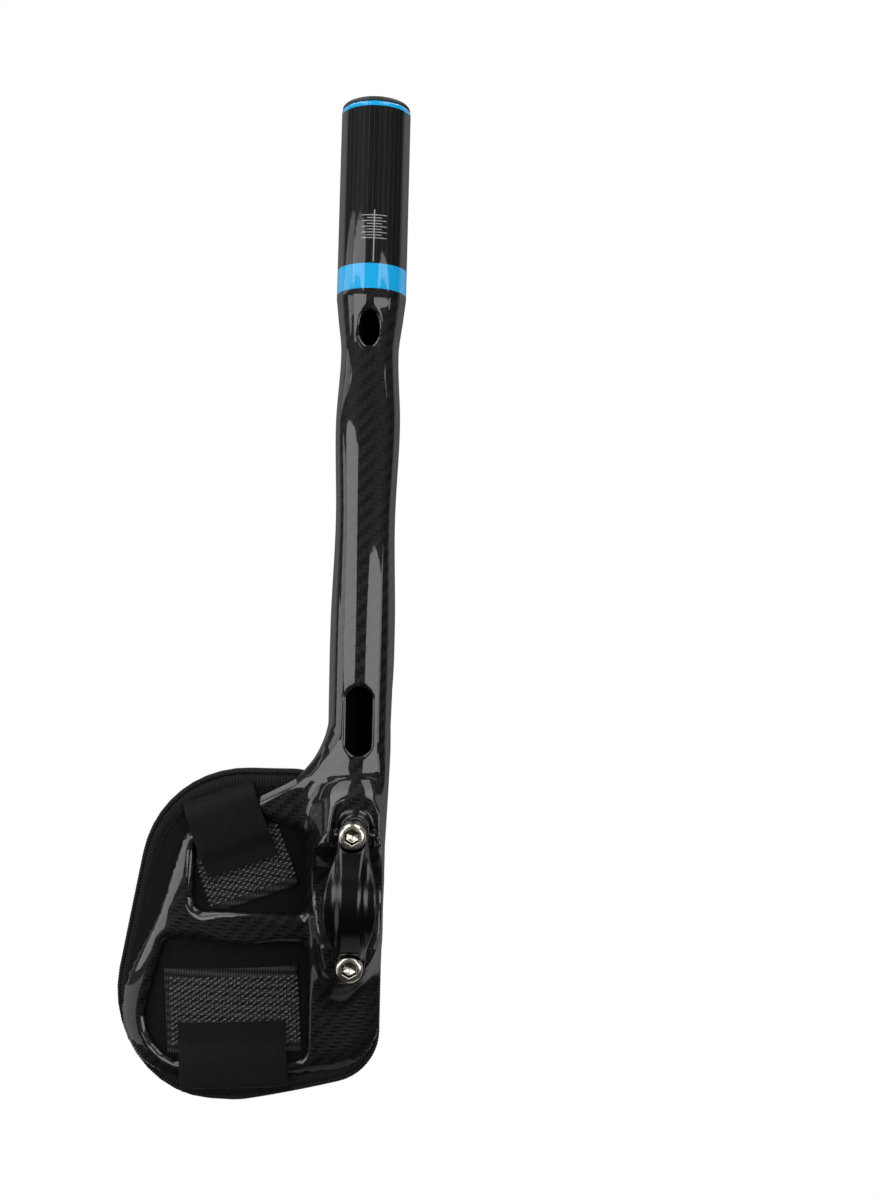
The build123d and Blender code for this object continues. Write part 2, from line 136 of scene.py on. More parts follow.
# Tube stations from its tail to the grip: Y, width, height, height of the middle, squareness
GRIP_Y = 200.0
GRIP_Z = 39.0
GRIP_RADIUS = 12.0
GRIP_LENGTH = 67.0
GRIP_TILT = math.radians(5.5)
GRIP_AXIS = (0, math.cos(GRIP_TILT), math.sin(GRIP_TILT))
FLARE_LENGTH = 7.0
TUBE_STATIONS = [
    (4.0, 17.0, 5.0, 23.0, 2.0),
    (24.0, 21.0, 14.0, 24.0, 2.2),
    (46.0, 21.4, 21.5, 26.3, 2.2),
    (88.0, 21.9, 23.0, 29.0, 2.2),
    (123.0, 20.2, 22.0, 31.8, 2.6),
    (156.0, 22.0, 21.0, 34.6, 2.6),
    (181.0, 19.8, 21.0, 37.1, 2.2),
    (GRIP_Y - FLARE_LENGTH, 22.4, 22.4, GRIP_Z - FLARE_LENGTH * math.tan(GRIP_TILT), 2.0),
    (GRIP_Y, 2 * GRIP_RADIUS, 2 * GRIP_RADIUS, GRIP_Z, 2.0),
]
TUBE_WALL = 2.0
TUBE_END_EDGE = 0.5
CAVITY_REAR = 41.0
SLOT_Y = 55.6
SLOT_RADIUS = 4.3
SLOT_HALF_RUN = 7.2
SLOT_TOP = 26.3
SLOT_EDGE = 1.0
CABLE_HOLE_Y = 188.7
CABLE_HOLE_HALF = (3.3, 6.0)
CABLE_HOLE_TOP = 37.1
CABLE_HOLE_EDGE = 1.2

# Armrest trough, bent round an axis along Y
CUP_RADIUS = 110.0
CUP_X = 30.0
CUP_BOTTOM = 19.0
SHELL_THICKNESS = 3.0
SHELL_EDGE = 0.8
SHELL_CORNERS = [
    (-8.6, 66), (-10.2, -63), (86.8, -69.5), (79.5, -34), (68.6, -12), (59.3, 17.5), (9, 41.8), (9, 66)
]
SHELL_RADII = [0, 17, 22, 40, 40, 9, 27, 0]
FRONT_WINDOW_CORNERS = [(15.5, -9.5), (54.6, -9.5), (54.6, 12.5), (34, 22.5), (15.5, 17)]
FRONT_WINDOW_RADII = [4] * 5
REAR_WINDOW_CORNERS = [(15.5, -20), (15.5, -58.6), (76, -62.4), (64.5, -20)]
REAR_WINDOW_RADII = [4, 4, 15, 4]
INBOARD_YS = (-60, -34, -18, 13, 41, 66, 90)
INBOARD_XS = (10.3, 10.3, 9.7, 9.3, 10.3, 11.2, 14)
INBOARD_EDGE = 1.5
TUBE_FILLET_YS = (36, 58)
TUBE_FILLETS = (13, 0.5)

# Carbon cloth: its radius round the tube, how far out it still follows the tube, and the bare inner wall
WEAVE_RADIUS = 11.13
WEAVE_REACH = 1.5
BARE_WALL_SHARE = 0.6

# Grids that the moulding and the cap are skinned from, and the angle from which a lofted edge stays sharp
BODY_GRID = 0.8
CAP_GRID = 0.35
BODY_GRID_ROOM = 2
CAP_GRID_ROOM = 1
SHARP_ANGLE = math.radians(32)

# Rims of the armrest: wide along the outer rail, tight at the front and beside the crossbar's middle.
# Each range runs from where a change starts to where it is complete.
OUTER_RIM_ROUND = 14.0
FRONT_RIM_ROUND = 4.0
FRONT_RIM_YS = (8.0, 18.0)
FRONT_RIM_XS = (48.0, 36.0)
RIM_RISE = 3.3
WINDOW_RIM_ROUND = 3.5
CROSSBAR_MIDDLE = (38.5, -14.75)
CROSSBAR_RANGE_X = (12.8, 4.8)
CROSSBAR_RANGE_Y = (10.0, 5.0)
CROSSBAR_SHARPER = 2.4

# Arm pad and its sewn edge
PAD_CORNERS = [(-6.5, 12), (-6.5, -63), (38, -71.4), (87, -71.4), (66, 36.4), (16, 36.4)]
PAD_RADII = [14, 14, 32, 32, 36, 14]
PAD_LIFT = 3.2
PAD_GRID = 4.0
PAD_SHRINK = 1.2
PAD_SWELL = 3.0
PAD_SWELL_LIMIT = 5.0
PAD_PRESSURE = 4
PAD_FRAMES = 20
PAD_ROOM = 0.3
BINDING_WIDTH = 2.2
BINDING_HEIGHT = 5.0
RIB_PITCH = 1.0
RIB_STEPS = 4
EDGE_OVERLAP = 0.6
EDGE_REACH = 18.0
EDGE_STATIONS = 240
EDGE_WINDOW = 2
EDGE_PASSES = 3
LINING_WIDTH = 4.4
LINING_HEIGHT = 2.0
LINING_INSET = 1.8
SEAM_INSET = 3.6
SEAM_LIFT = -0.1
STITCH_PITCH = 3.0
SEWN_LINE_POINTS = 400

# Straps and hook tape, each turned in plan about the origin: degrees, middle, width, then stations along
FRONT_TURN = -21.0
FRONT_STRAP = (33.5, 25.2)
FRONT_STRAP_PATH = [
    (45.4, 2.6), (44.4, 2.3), (43, 1.2), (41.6, -0.2), (39.6, -0.9), (36, -0.9), (30, -0.9),
    (27.4, -0.6), (25.5, 0.4), (23.6, 1.4), (21.5, 1.5), (19, 1.5),
]
FRONT_PATCH = (33.2, 30.4, 7.0, 29.4)
FRONT_PATCH_BANDS = (3.0, 0.8)
REAR_TURN = -4.0
REAR_STRAP = (44.1, 36.6)
REAR_STRAP_PATH = [
    (-67.4, 2.6), (-66.2, 2.5), (-65.2, 1.6), (-65, -0.2), (-64.2, -0.9), (-61, -0.9), (-57.4, -0.9),
    (-54.8, -0.4), (-52.6, 0.7), (-50.4, 1.4), (-47.5, 1.5), (-43.6, 1.5),
]
REAR_PATCH = (44.0, 45.6, -54.6, -26.0)
REAR_PATCH_BANDS = (3.0, 3.0)
TAPE_THICKNESS = 1.0
STRAP_RIPPLE = 0.12
STRAP_RIPPLE_RUNS = (4.3, 3.1)
STRAP_EDGE_POWER = 14
STRAP_COLUMNS = 31
PATCH_CELLS = (40, 28)

# Hooks: their places on a tape, the wire's crest and tip as shares of its height, and its lean in radians
HOOK_BASE_LIFT = 2.6
HOOK_ROW_PITCH = 0.85
HOOK_PITCH = 2.6
HOOK_FIRST = 2.1
HOOK_LAST = 0.6
HOOK_RIM_ROOM = 1.2
HOOK_CREST = -1.9
HOOK_TIP = -0.35
HOOK_LEAN = ((-0.1, -0.1, 2.3), (0.1, 0.1, 2.7))

# Photograph's viewing angle, from below
CAMERA_PLACE = (-0.0261, 0.0967, -0.55)
CAMERA_ROLL = math.radians(1.3)
CAMERA_LENS = 51.0


def srgb(code):
    """Linear colour of an sRGB hex code."""
    parts = [int(code[start:start + 2], 16) / 255 for start in (0, 2, 4)]
    linear = [part / 12.92 if part <= 0.04045 else ((part + 0.055) / 1.055) ** 2.4 for part in parts]
    return (*linear, 1.0)


def node(tree, kind, inputs=None, **settings):
    """Adds a node; inputs maps a socket to a value, to a node's output or to a node, for its first output."""
    made = tree.nodes.new(kind)
    for name, value in settings.items():
        setattr(made, name, value)
    for socket, value in (inputs or {}).items():
        if isinstance(value, bpy.types.Node):
            value = value.outputs[0]
        if isinstance(value, bpy.types.NodeSocket):
            tree.links.new(value, made.inputs[socket])
        else:
            made.inputs[socket].default_value = value
    return made


def finish_of(name, color, values):
    """A material with one Principled shader, whose even values are set on its own sockets."""
    material = bpy.data.materials.new(name)
    material.use_nodes = True
    tree = material.node_tree
    tree.nodes.clear()
    shader = node(tree, "ShaderNodeBsdfPrincipled", {"Base Color": srgb(color), **values})
    node(tree, "ShaderNodeOutputMaterial", {"Surface": shader})
    return material, tree, shader


def mesh_object(name, points, faces):
    """A smooth object at the origin from points in millimetres, with its faces pointing outwards."""
    mesh = bpy.data.meshes.new(name)
    mesh.from_pydata(np.asarray(points) * MM, [], faces)
    form = bmesh.new()
    form.from_mesh(mesh)
    bmesh.ops.recalc_face_normals(form, faces=form.faces)
    form.to_mesh(mesh)
    form.free()
    mesh.shade_smooth()
    made = bpy.data.objects.new(name, mesh)
    bpy.context.scene.collection.objects.link(made)
    return made


def positions(mesh):
    """A mesh's points in millimetres."""
    points = np.zeros(3 * len(mesh.vertices))
    mesh.vertices.foreach_get("co", points)
    return points.reshape(-1, 3) / MM


def fit_out(piece, node_name, material):
    """Gives a piece its material, makes it ride and stand for a CAD node."""
    piece.data.materials.clear()
    piece.data.materials.append(material)
    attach(piece, "root")
    if node_name:
        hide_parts(node_name)


# Distance fields and plan outlines
def soft_min(a, b, reach):
    """Union of two distance fields with a fillet that starts at reach."""
    blend = np.maximum(reach - np.abs(a - b), 0) / reach
    return np.minimum(a, b) - blend * blend * reach / 4


def soft_max(a, b, reach):
    """Common part of two distance fields, rounded where they meet."""
    return -soft_min(-a, -b, reach)


def round_max(a, b, radius):
    """Common part of two distance fields, with an edge of that radius."""
    outside = np.hypot(np.maximum(a + radius, 0), np.maximum(b + radius, 0))
    return np.minimum(np.maximum(a, b), -radius) + outside


def share_of(value, start, end):
    """Share of the way from start to end, held between 0 and 1."""
    return np.clip((value - start) / (end - start), 0, 1)


def rounded(corners, radii, steps=10):
    """Points of a closed outline, as complex numbers, with its corners rounded by arcs."""
    corners = [complex(*corner) for corner in corners]
    points = []
    for index, (corner, radius) in enumerate(zip(corners, radii)):
        back = corners[index - 1] - corner
        ahead = corners[(index + 1) % len(corners)] - corner
        back /= abs(back)
        ahead /= abs(ahead)
        half = abs(np.angle(ahead / back)) / 2
        middle = corner + (back + ahead) / abs(back + ahead) * radius / math.sin(half)
        spoke = corner + back * radius / math.tan(half) - middle
        end_spoke = corner + ahead * radius / math.tan(half) - middle
        sweep = np.angle(end_spoke / spoke) if radius else 0
        count = steps if radius else 0
        points += [middle + spoke * np.exp(1j * sweep * step / max(count, 1)) for step in range(count + 1)]
    return np.array(points)


def outline_distance(x, y, outline):
    """Signed distance in plan to a closed outline, negative inside."""
    spot = x + 1j * y
    nearest = np.full(spot.shape, np.inf)
    inside = np.zeros(spot.shape, bool)
    for start, end in zip(outline, np.roll(outline, -1)):
        run = end - start
        share = np.clip(((spot - start) * run.conjugate()).real / abs(run) ** 2, 0, 1)
        nearest = np.minimum(nearest, np.abs(spot - start - share * run))
        if start.imag != end.imag:
            crossing = start.real + (y - start.imag) * run.real / run.imag
            inside ^= ((start.imag > y) != (end.imag > y)) & (x < crossing)
    return np.where(inside, -nearest, nearest)


def skin(name, field, low, high, pitch):
    """Mesh of a distance field's surface, with its points drawn onto the field's zero."""
    low, high = np.array(low), np.array(high)
    axes = [np.arange(start, end + pitch, pitch) for start, end in zip(low, high)]
    grid = openvdb.FloatGrid()
    grid.copyFromArray(field(*np.meshgrid(*axes, indexing="ij", sparse=True)).astype(np.float32))
    points, quads = grid.convertToQuads()
    points = points.astype(float) * pitch + low
    reach = 0.1 * pitch
    for _ in range(3):
        slope = [field(*(points + step).T) - field(*(points - step).T) for step in reach * np.eye(3)]
        slope = np.stack(slope, 1) / (2 * reach)
        steepness = np.maximum((slope ** 2).sum(1), 0.2)
        shift = np.clip(field(*points.T) / steepness, -pitch / 3, pitch / 3)
        points -= shift[:, None] * slope
    return mesh_object(name, points, quads.tolist())


SHELL = rounded(SHELL_CORNERS, SHELL_RADII)
FRONT_WINDOW = rounded(FRONT_WINDOW_CORNERS, FRONT_WINDOW_RADII, 5)
REAR_WINDOW = rounded(REAR_WINDOW_CORNERS, REAR_WINDOW_RADII, 6)
PAD = rounded(PAD_CORNERS, PAD_RADII)


def trough_z(x, lift):
    """Height of the trough's surface at X, lifted off the shell's underside."""
    return CUP_BOTTOM + CUP_RADIUS - np.sqrt((CUP_RADIUS - lift) ** 2 - (x - CUP_X) ** 2)


def trough_lift(points):
    """Height of points above the shell's underside, square to the trough."""
    return CUP_RADIUS - np.hypot(points[:, 0] - CUP_X, points[:, 2] - CUP_BOTTOM - CUP_RADIUS)


# Carbon moulding
def station_at(y):
    """Width, height, height of the middle and squareness of the tube at Y, smooth through its stations."""
    last = len(TUBE_STATIONS) - 1
    after = next(index for index in range(1, last + 1) if y <= TUBE_STATIONS[index][0])
    start, end = np.array(TUBE_STATIONS[after - 1]), np.array(TUBE_STATIONS[after])
    before = np.array(TUBE_STATIONS[max(after - 2, 0)])
    beyond = np.array(TUBE_STATIONS[min(after + 1, last)])
    span = end[0] - start[0]
    share = (y - start[0]) / span
    leave = (end - before) / (end[0] - before[0]) * span
    arrive = (beyond - start) / (beyond[0] - start[0]) * span
    rise = end - start
    curve = leave + share * (3 * rise - 2 * leave - arrive + share * (leave + arrive - 2 * rise))
    return (start + share * curve)[1:]


STATION_YS = np.linspace(TUBE_STATIONS[0][0], GRIP_Y, 200)
STATIONS = np.array([station_at(y) for y in STATION_YS])


def tube_form(x, y, z, wall=0.0):
    """Distance to the tube, or to its hollow where a wall is given; the grip is straight and tilted."""
    width, height, middle, squareness = (np.interp(y, STATION_YS, column) for column in STATIONS.T)
    middle = middle + np.maximum(y - GRIP_Y, 0) * math.tan(GRIP_TILT)
    across = np.abs(x) / (width / 2 - wall)
    up = np.abs(z - middle) / (height / 2 - wall)
    return ((across ** squareness + up ** squareness) ** (1 / squareness) - 1) * (width / 2 - wall)


def grip_end(y, z):
    """Distance beyond the grip's end plane."""
    along = (y - GRIP_Y) * math.cos(GRIP_TILT) + (z - GRIP_Z) * math.sin(GRIP_TILT)
    return along - GRIP_LENGTH


def rear_face(x, y, rise, facing, corner):
    """Distance beyond one of the saddle's rear faces, which lean outwards as they rise."""
    return facing[0] * (x - corner[0]) + facing[1] * (y - corner[1]) - SADDLE_REAR_SLOPE * rise


def saddle_form(x, y, z):
    """Distance to the saddle: sloping front, sides and two rear faces, all rounded."""
    rise = z - SPLIT_Z
    front = y - SADDLE_FRONT - SADDLE_FRONT_SLOPE * rise + SADDLE_FRONT_BOW * x ** 2
    front = front / math.hypot(1, SADDLE_FRONT_SLOPE)
    diagonal = rear_face(x, y, rise, *SADDLE_DIAGONAL)
    tail = rear_face(x, y, rise, *SADDLE_TAIL)
    outboard = x - SADDLE_OUTBOARD - SADDLE_FLARE * rise
    sides = soft_max(outboard, SADDLE_INBOARD - x, SADDLE_SIDE_ROUND)
    block = soft_max(front, sides, SADDLE_FRONT_ROUND)
    block = soft_max(block, soft_max(diagonal, tail, SADDLE_REAR_ROUND), SADDLE_CORNER_ROUND)
    block = round_max(block, -rise, SADDLE_FOOT_EDGE)
    return round_max(block, z - SADDLE_TOP, SADDLE_TOP_EDGE)


def armrest_form(x, y, height):
    """Distance to the armrest's windowed shell; height is that above its underside."""
    near_front = share_of(y, *FRONT_RIM_YS) * share_of(x, *FRONT_RIM_XS)
    rim = OUTER_RIM_ROUND + (FRONT_RIM_ROUND - OUTER_RIM_ROUND) * near_front
    reach = rim - np.sqrt(rim ** 2 - (rim - RIM_RISE) ** 2)
    armrest = round_max(-height, outline_distance(x, y, SHELL) - reach, rim)
    near_crossbar = share_of(np.abs(x - CROSSBAR_MIDDLE[0]), *CROSSBAR_RANGE_X)
    near_crossbar = near_crossbar * share_of(np.abs(y - CROSSBAR_MIDDLE[1]), *CROSSBAR_RANGE_Y)
    for window in (FRONT_WINDOW, REAR_WINDOW):
        rim_round = WINDOW_RIM_ROUND - CROSSBAR_SHARPER * near_crossbar
        armrest = round_max(armrest, -outline_distance(x, y, window), rim_round)
    return round_max(armrest, height - SHELL_THICKNESS, SHELL_EDGE)


def with_openings(body, x, y, z):
    """The moulding with its hollow, slot, cable hole, bolt pockets, bar seat and insert bores cut out."""
    hollow = np.maximum(tube_form(x, y, z, TUBE_WALL), CAVITY_REAR - y)
    body = round_max(body, -hollow, TUBE_END_EDGE)
    slot = np.hypot(x, y - np.clip(y, SLOT_Y - SLOT_HALF_RUN, SLOT_Y + SLOT_HALF_RUN)) - SLOT_RADIUS
    body = round_max(body, -np.maximum(slot, z - SLOT_TOP), SLOT_EDGE)
    half_x, half_y = CABLE_HOLE_HALF
    hole = (np.hypot(x / half_x, (y - CABLE_HOLE_Y) / half_y) - 1) * half_x
    body = round_max(body, -np.maximum(hole, z - CABLE_HOLE_TOP), CABLE_HOLE_EDGE)
    pocket = np.hypot(x, y - np.clip(y, 0, POCKET_FRONT)) - POCKET_RADIUS
    body = round_max(body, -round_max(pocket, z - POCKET_FLOOR, POCKET_ROUND), POCKET_EDGE)
    arch = round_max(pocket, INSERT_RADIUS + POCKET_LIP - np.hypot(x, y - BOLT_Y), ARCH_ROUND)
    arch = np.maximum(arch, BOLT_Y - ARCH_BACK - y)
    body = round_max(body, -round_max(arch, z - ARCH_FLOOR, POCKET_ROUND), POCKET_EDGE)
    body = round_max(body, BAR_RADIUS - np.hypot(y, z), BAR_EDGE)
    for bolt_y, floor in ((BOLT_Y, POCKET_FLOOR), (-BOLT_Y, SPLIT_Z)):
        bore = np.maximum(np.hypot(x, y - bolt_y) - INSERT_RADIUS, z - floor - INSERT_DEPTH)
        body = np.maximum(body, -bore)
    return body


def carbon_body(x, y, z):
    """Distance to the moulding: tube, armrest and saddle run into each other with fillets."""
    height = CUP_RADIUS - np.hypot(x - CUP_X, z - CUP_BOTTOM - CUP_RADIUS)
    tube = round_max(tube_form(x, y, z), grip_end(y, z), TUBE_END_EDGE)
    tube = np.maximum(tube, TUBE_STATIONS[0][0] - y)
    tube_fillet = np.interp(y, TUBE_FILLET_YS, TUBE_FILLETS)
    body = soft_min(tube, armrest_form(x, y, height), tube_fillet)
    body = soft_min(body, saddle_form(x, y, z), SADDLE_FILLET)
    body = round_max(body, -x - np.interp(y, INBOARD_YS, INBOARD_XS), INBOARD_EDGE)
    seat = outline_distance(x, y, PAD) - BINDING_WIDTH - PAD_ROOM
    body = round_max(body, -np.maximum(seat, SHELL_THICKNESS - height), SHELL_EDGE)
    return with_openings(body, x, y, z)


def lay_weave(piece):
    """A UV map in metres for the cloth: round the tube, in plan on the armrest, upright on steep walls."""
    mesh = piece.data
    corners = np.zeros(len(mesh.loops), int)
    mesh.loops.foreach_get("vertex_index", corners)
    sides = len(corners) // len(mesh.polygons)
    faces = positions(mesh)[corners].reshape(-1, sides, 3)
    middles = faces.mean(1)
    slants = np.abs(np.cross(faces[:, 2] - faces[:, 0], faces[:, 3] - faces[:, 1]))
    on_tube = (tube_form(*middles.T) < WEAVE_REACH) & (middles[:, 1] > SADDLE_FRONT)
    axis_z = np.interp(faces[..., 1], STATION_YS, STATIONS[:, 2])
    axis_z += np.maximum(faces[..., 1] - GRIP_Y, 0) * math.tan(GRIP_TILT)
    turn = np.arctan2(faces[..., 0], axis_z - faces[..., 2])
    turn = np.where(np.ptp(turn, 1, keepdims=True) > math.pi, turn % (2 * math.pi), turn)
    upright = (slants[:, 0] > slants[:, 2])[:, None]
    level = np.where(upright, faces[..., 2], faces[..., 0])
    across = np.where(on_tube[:, None], turn * WEAVE_RADIUS, level)
    inside = (tube_form(*middles.T) < -BARE_WALL_SHARE * TUBE_WALL) & (middles[:, 1] > CAVITY_REAR - 1)
    mesh.polygons.foreach_set("material_index", inside.astype(np.int32))
    cloth = mesh.uv_layers.new(name="weave")
    cloth.data.foreach_set("uv", (np.stack([across, faces[..., 1]], 2) * MM).astype(np.float32).ravel())


# Clamp cap
def cap_form(x, y, z):
    """Distance to the cap: a thin flared leaf and a rib that runs out into two bolt ears."""
    radius = np.hypot(y, z)
    flare = np.maximum(1 - (y / BAR_RADIUS) ** 2, LEAF_END_SHARE)
    leaf_half = EAR_RADIUS + (LEAF_HALF - EAR_RADIUS) * flare
    rib_half = RIB_HALF + (EAR_RADIUS - RIB_HALF) * np.minimum((y / BOLT_Y) ** 2, 1)
    leaf = round_max(np.abs(x) - leaf_half, radius - LEAF_RADIUS, LEAF_EDGE)
    rib = round_max(np.abs(x) - rib_half, radius - RIB_RADIUS, RIB_EDGE)
    ears = np.hypot(x, y - np.clip(y, -BOLT_Y, BOLT_Y)) - EAR_RADIUS
    ears = round_max(ears, EAR_SEAT - z, EAR_EDGE)
    cap = soft_min(soft_min(leaf, rib, RIB_FILLET), ears, EAR_FILLET)
    cap = round_max(cap, BAR_RADIUS - radius, CAP_EDGE)
    cap = round_max(cap, z + SPLIT_Z, CAP_EDGE)
    for bolt_y in (BOLT_Y, -BOLT_Y):
        from_bolt = np.hypot(x, y - bolt_y)
        cap = round_max(cap, -np.maximum(from_bolt - SEAT_RADIUS, z - EAR_SEAT), CAP_EDGE)
        cap = np.maximum(cap, BOLT_HOLE_RADIUS - from_bolt)
    return cap


# Turned and lofted pieces
def loft(name, rings):
    """A closed form through rings of equal numbers of points, with its ends filled."""
    rings = np.array(rings)
    rows, columns = rings.shape[:2]
    index = np.arange(rows * columns).reshape(rows, columns)
    beside = np.roll(index, -1, axis=1)
    faces = np.stack([index[:-1], beside[:-1], beside[1:], index[1:]], -1).reshape(-1, 4).tolist()
    faces += [index[0].tolist(), index[-1].tolist()]
    made = mesh_object(name, rings.reshape(-1, 3), faces)
    made.data.set_sharp_from_angle(angle=SHARP_ANGLE)
    return made


def ring(height, radius, flats=0, steps=BOLT_RING_POINTS):
    """Points of one level ring; one with flats is a polygon with that distance to its sides."""
    turn = np.linspace(0, 2 * math.pi, steps, endpoint=False)
    if flats:
        sector = 2 * math.pi / flats
        radius = radius / np.cos((turn + sector / 2) % sector - sector / 2)
    return np.stack([radius * np.cos(turn), radius * np.sin(turn), np.full(steps, height)], 1)


def bolt_rings():
    """Rings of a socket head bolt from the middle of its socket round the head to the thread's end."""
    face = EAR_SEAT - HEAD_HEIGHT
    floor = face + SOCKET_DEPTH
    rings = [
        ring(floor + 0.5, 0.05),
        ring(floor, SOCKET_HALF * 0.77, 6),
        ring(floor - 0.05, SOCKET_HALF * 0.8, 6),
        ring(face + 0.08, SOCKET_HALF, 6),
        ring(face, SOCKET_HALF * 1.04, 6),
        ring(face, HEAD_RADIUS - HEAD_CHAMFER - 0.1),
        ring(face + 0.05, HEAD_RADIUS - HEAD_CHAMFER + 0.05),
        ring(face + HEAD_CHAMFER * 0.4, HEAD_RADIUS - HEAD_CHAMFER * 0.4),
        ring(face + HEAD_CHAMFER - 0.1, HEAD_RADIUS - 0.08),
        ring(face + HEAD_CHAMFER + 0.1, HEAD_RADIUS),
        ring(EAR_SEAT - 0.15, HEAD_RADIUS),
        ring(EAR_SEAT, HEAD_RADIUS - 0.15),
        ring(EAR_SEAT, BOLT_RADIUS + 0.2),
        ring(EAR_SEAT + 0.2, BOLT_RADIUS),
    ]
    turn = np.linspace(0, 1, BOLT_RING_POINTS, endpoint=False)
    for height in np.arange(THREAD_START, BOLT_LENGTH - 0.5, THREAD_PITCH / THREAD_STEPS):
        wave = np.abs(((height / THREAD_PITCH - turn) % 1) * 2 - 1)
        rings.append(ring(EAR_SEAT + height, BOLT_RADIUS - THREAD_DEPTH * wave))
    rings += [ring(EAR_SEAT + BOLT_LENGTH - 0.4, BOLT_RADIUS - THREAD_DEPTH)]
    rings += [ring(EAR_SEAT + BOLT_LENGTH, BOLT_RADIUS - 2 * THREAD_DEPTH)]
    return np.array(rings)


def plug_rings():
    """Rings of the grip's plug from its stem to the dimple in its crown, along the grip's axis."""
    rim = GRIP_RADIUS - 0.2
    profile = [
        (-14, 8.6), (-13.4, 9.6), (-12.8, 9.95), (-0.3, 9.95), (0, 10.2),
        (0, rim - 0.2), (0.15, rim), (0.7, rim), (1.1, rim - 0.15), (1.55, rim - 0.55),
        (1.9, rim - 1.2), (2.1, rim - 2.2), (2.2, rim - 3.6),
        (2.2, 5.6), (2.1, 5.2), (1.6, 4.9), (1.4, 4.4), (1.4, 0.3),
    ]
    rings = np.array([ring(height, radius, steps=96) for height, radius in profile])
    along = np.array(GRIP_AXIS)
    up = np.array([0, -math.sin(GRIP_TILT), math.cos(GRIP_TILT)])
    tip = np.array([0, GRIP_Y, GRIP_Z]) + GRIP_LENGTH * along
    return tip + rings[..., :1] * np.array([1, 0, 0]) + rings[..., 1:2] * up + rings[..., 2:] * along


# Soft parts
def smooth_path(points, rounds=3):
    """An open path with its corners cut until they are smooth."""
    points = np.array(points, float)
    for _ in range(rounds):
        near, far = points[:-1] * 0.75 + points[1:] * 0.25, points[:-1] * 0.25 + points[1:] * 0.75
        points = np.concatenate([points[:1], np.stack([near, far], 1).reshape(-1, 2), points[-1:]])
    return points


def turned(across, along, turn):
    """Plan position of a place on a tape that is turned about the origin."""
    spot = (across + 1j * along) * np.exp(1j * math.radians(turn))
    return spot.real, spot.imag


def strap_form(name, turn, center, width, path):
    """A strap of even thickness along a path of stations and lifts, with soft edges."""
    path = smooth_path(path)
    heading = np.gradient(path, axis=0)
    heading /= np.linalg.norm(heading, axis=1)[:, None]
    share = np.linspace(-1, 1, STRAP_COLUMNS)
    half = TAPE_THICKNESS / 2 * np.sqrt(np.maximum(1 - np.abs(share) ** STRAP_EDGE_POWER, 0.02))
    across = np.concatenate([share, share[::-1]]) * width / 2 + center
    offset = np.concatenate([half, -half[::-1]])
    along = path[:, :1] - heading[:, 1:] * offset
    lift = path[:, 1:] + heading[:, :1] * offset
    run_across, run_along = STRAP_RIPPLE_RUNS
    lift = lift + STRAP_RIPPLE * np.sin(across / run_across) * np.sin(path[:, :1] / run_along)
    x, y = turned(across[None, :], along, turn)
    return loft(name, np.stack([x, y, trough_z(x, lift)], -1)), path


def window_clip(form, corners, inset=0.6):
    """Cuts a flat form back to a window's straight sides, with a little room."""
    middle = sum(complex(*corner) for corner in corners) / len(corners)
    for start, end in zip(corners, corners[1:] + corners[:1]):
        run = complex(*end) - complex(*start)
        outward = -1j * run / abs(run)
        if ((complex(*start) - middle) * outward.conjugate()).real < 0:
            outward = -outward
        spot = complex(*start) - inset * outward
        bmesh.ops.bisect_plane(
            form,
            geom=form.verts[:] + form.edges[:] + form.faces[:],
            plane_co=(spot.real, spot.imag, 0),
            plane_no=(outward.real, outward.imag, 0),
            clear_outer=True,
        )


def patch_form(name, turn, center, width, rear, front, corners):
    """The woven base of a hook tape, laid on the trough inside a window."""
    form = bmesh.new()
    bmesh.ops.create_grid(form, x_segments=PATCH_CELLS[0], y_segments=PATCH_CELLS[1], size=0.5)
    for vertex in form.verts:
        along = (rear + front) / 2 + vertex.co.y * (front - rear)
        vertex.co.x, vertex.co.y = turned(center + vertex.co.x * width, along, turn)
    window_clip(form, corners)
    sides = bmesh.ops.extrude_face_region(form, geom=form.faces[:])["geom"]
    upper = [item for item in sides if isinstance(item, bmesh.types.BMVert)]
    for vertex in form.verts:
        vertex.co.z = trough_z(vertex.co.x, HOOK_BASE_LIFT)
    for vertex in upper:
        vertex.co.z = trough_z(vertex.co.x, HOOK_BASE_LIFT + TAPE_THICKNESS / 2)
    form.verts.index_update()
    points = [vertex.co[:] for vertex in form.verts]
    faces = [[vertex.index for vertex in face.verts] for face in form.faces]
    form.free()
    return mesh_object(name, points, faces)


def hook_places(turn, center, width, rear, front, window, bands):
    """Staggered places for hooks on a tape, clear of its plain edge bands and of the window's rim."""
    across = np.arange(HOOK_FIRST - width / 2, HOOK_LAST + width / 2, HOOK_PITCH)
    along = np.arange(rear + bands[0], front - bands[1], HOOK_ROW_PITCH)
    row = np.arange(len(along))[:, None]
    across = center + across[None, :] - (row % 2) * HOOK_PITCH / 2
    x, y = turned(across, along[:, None] + 0 * across, turn)
    clear = outline_distance(x, y, window) < -HOOK_RIM_ROOM
    return np.stack([x, y, trough_z(x, HOOK_BASE_LIFT)], -1)[clear]


def node_group(name, sockets):
    """An empty Geometry Nodes tree with named inputs, a geometry in and a geometry out."""
    tree = bpy.data.node_groups.new(name, "GeometryNodeTree")
    tree.interface.new_socket("Geometry", in_out="INPUT", socket_type="NodeSocketGeometry")
    tree.interface.new_socket("Geometry", in_out="OUTPUT", socket_type="NodeSocketGeometry")
    for label, kind, value in sockets:
        socket = tree.interface.new_socket(label, in_out="INPUT", socket_type=kind)
        socket.default_value = value
    return tree


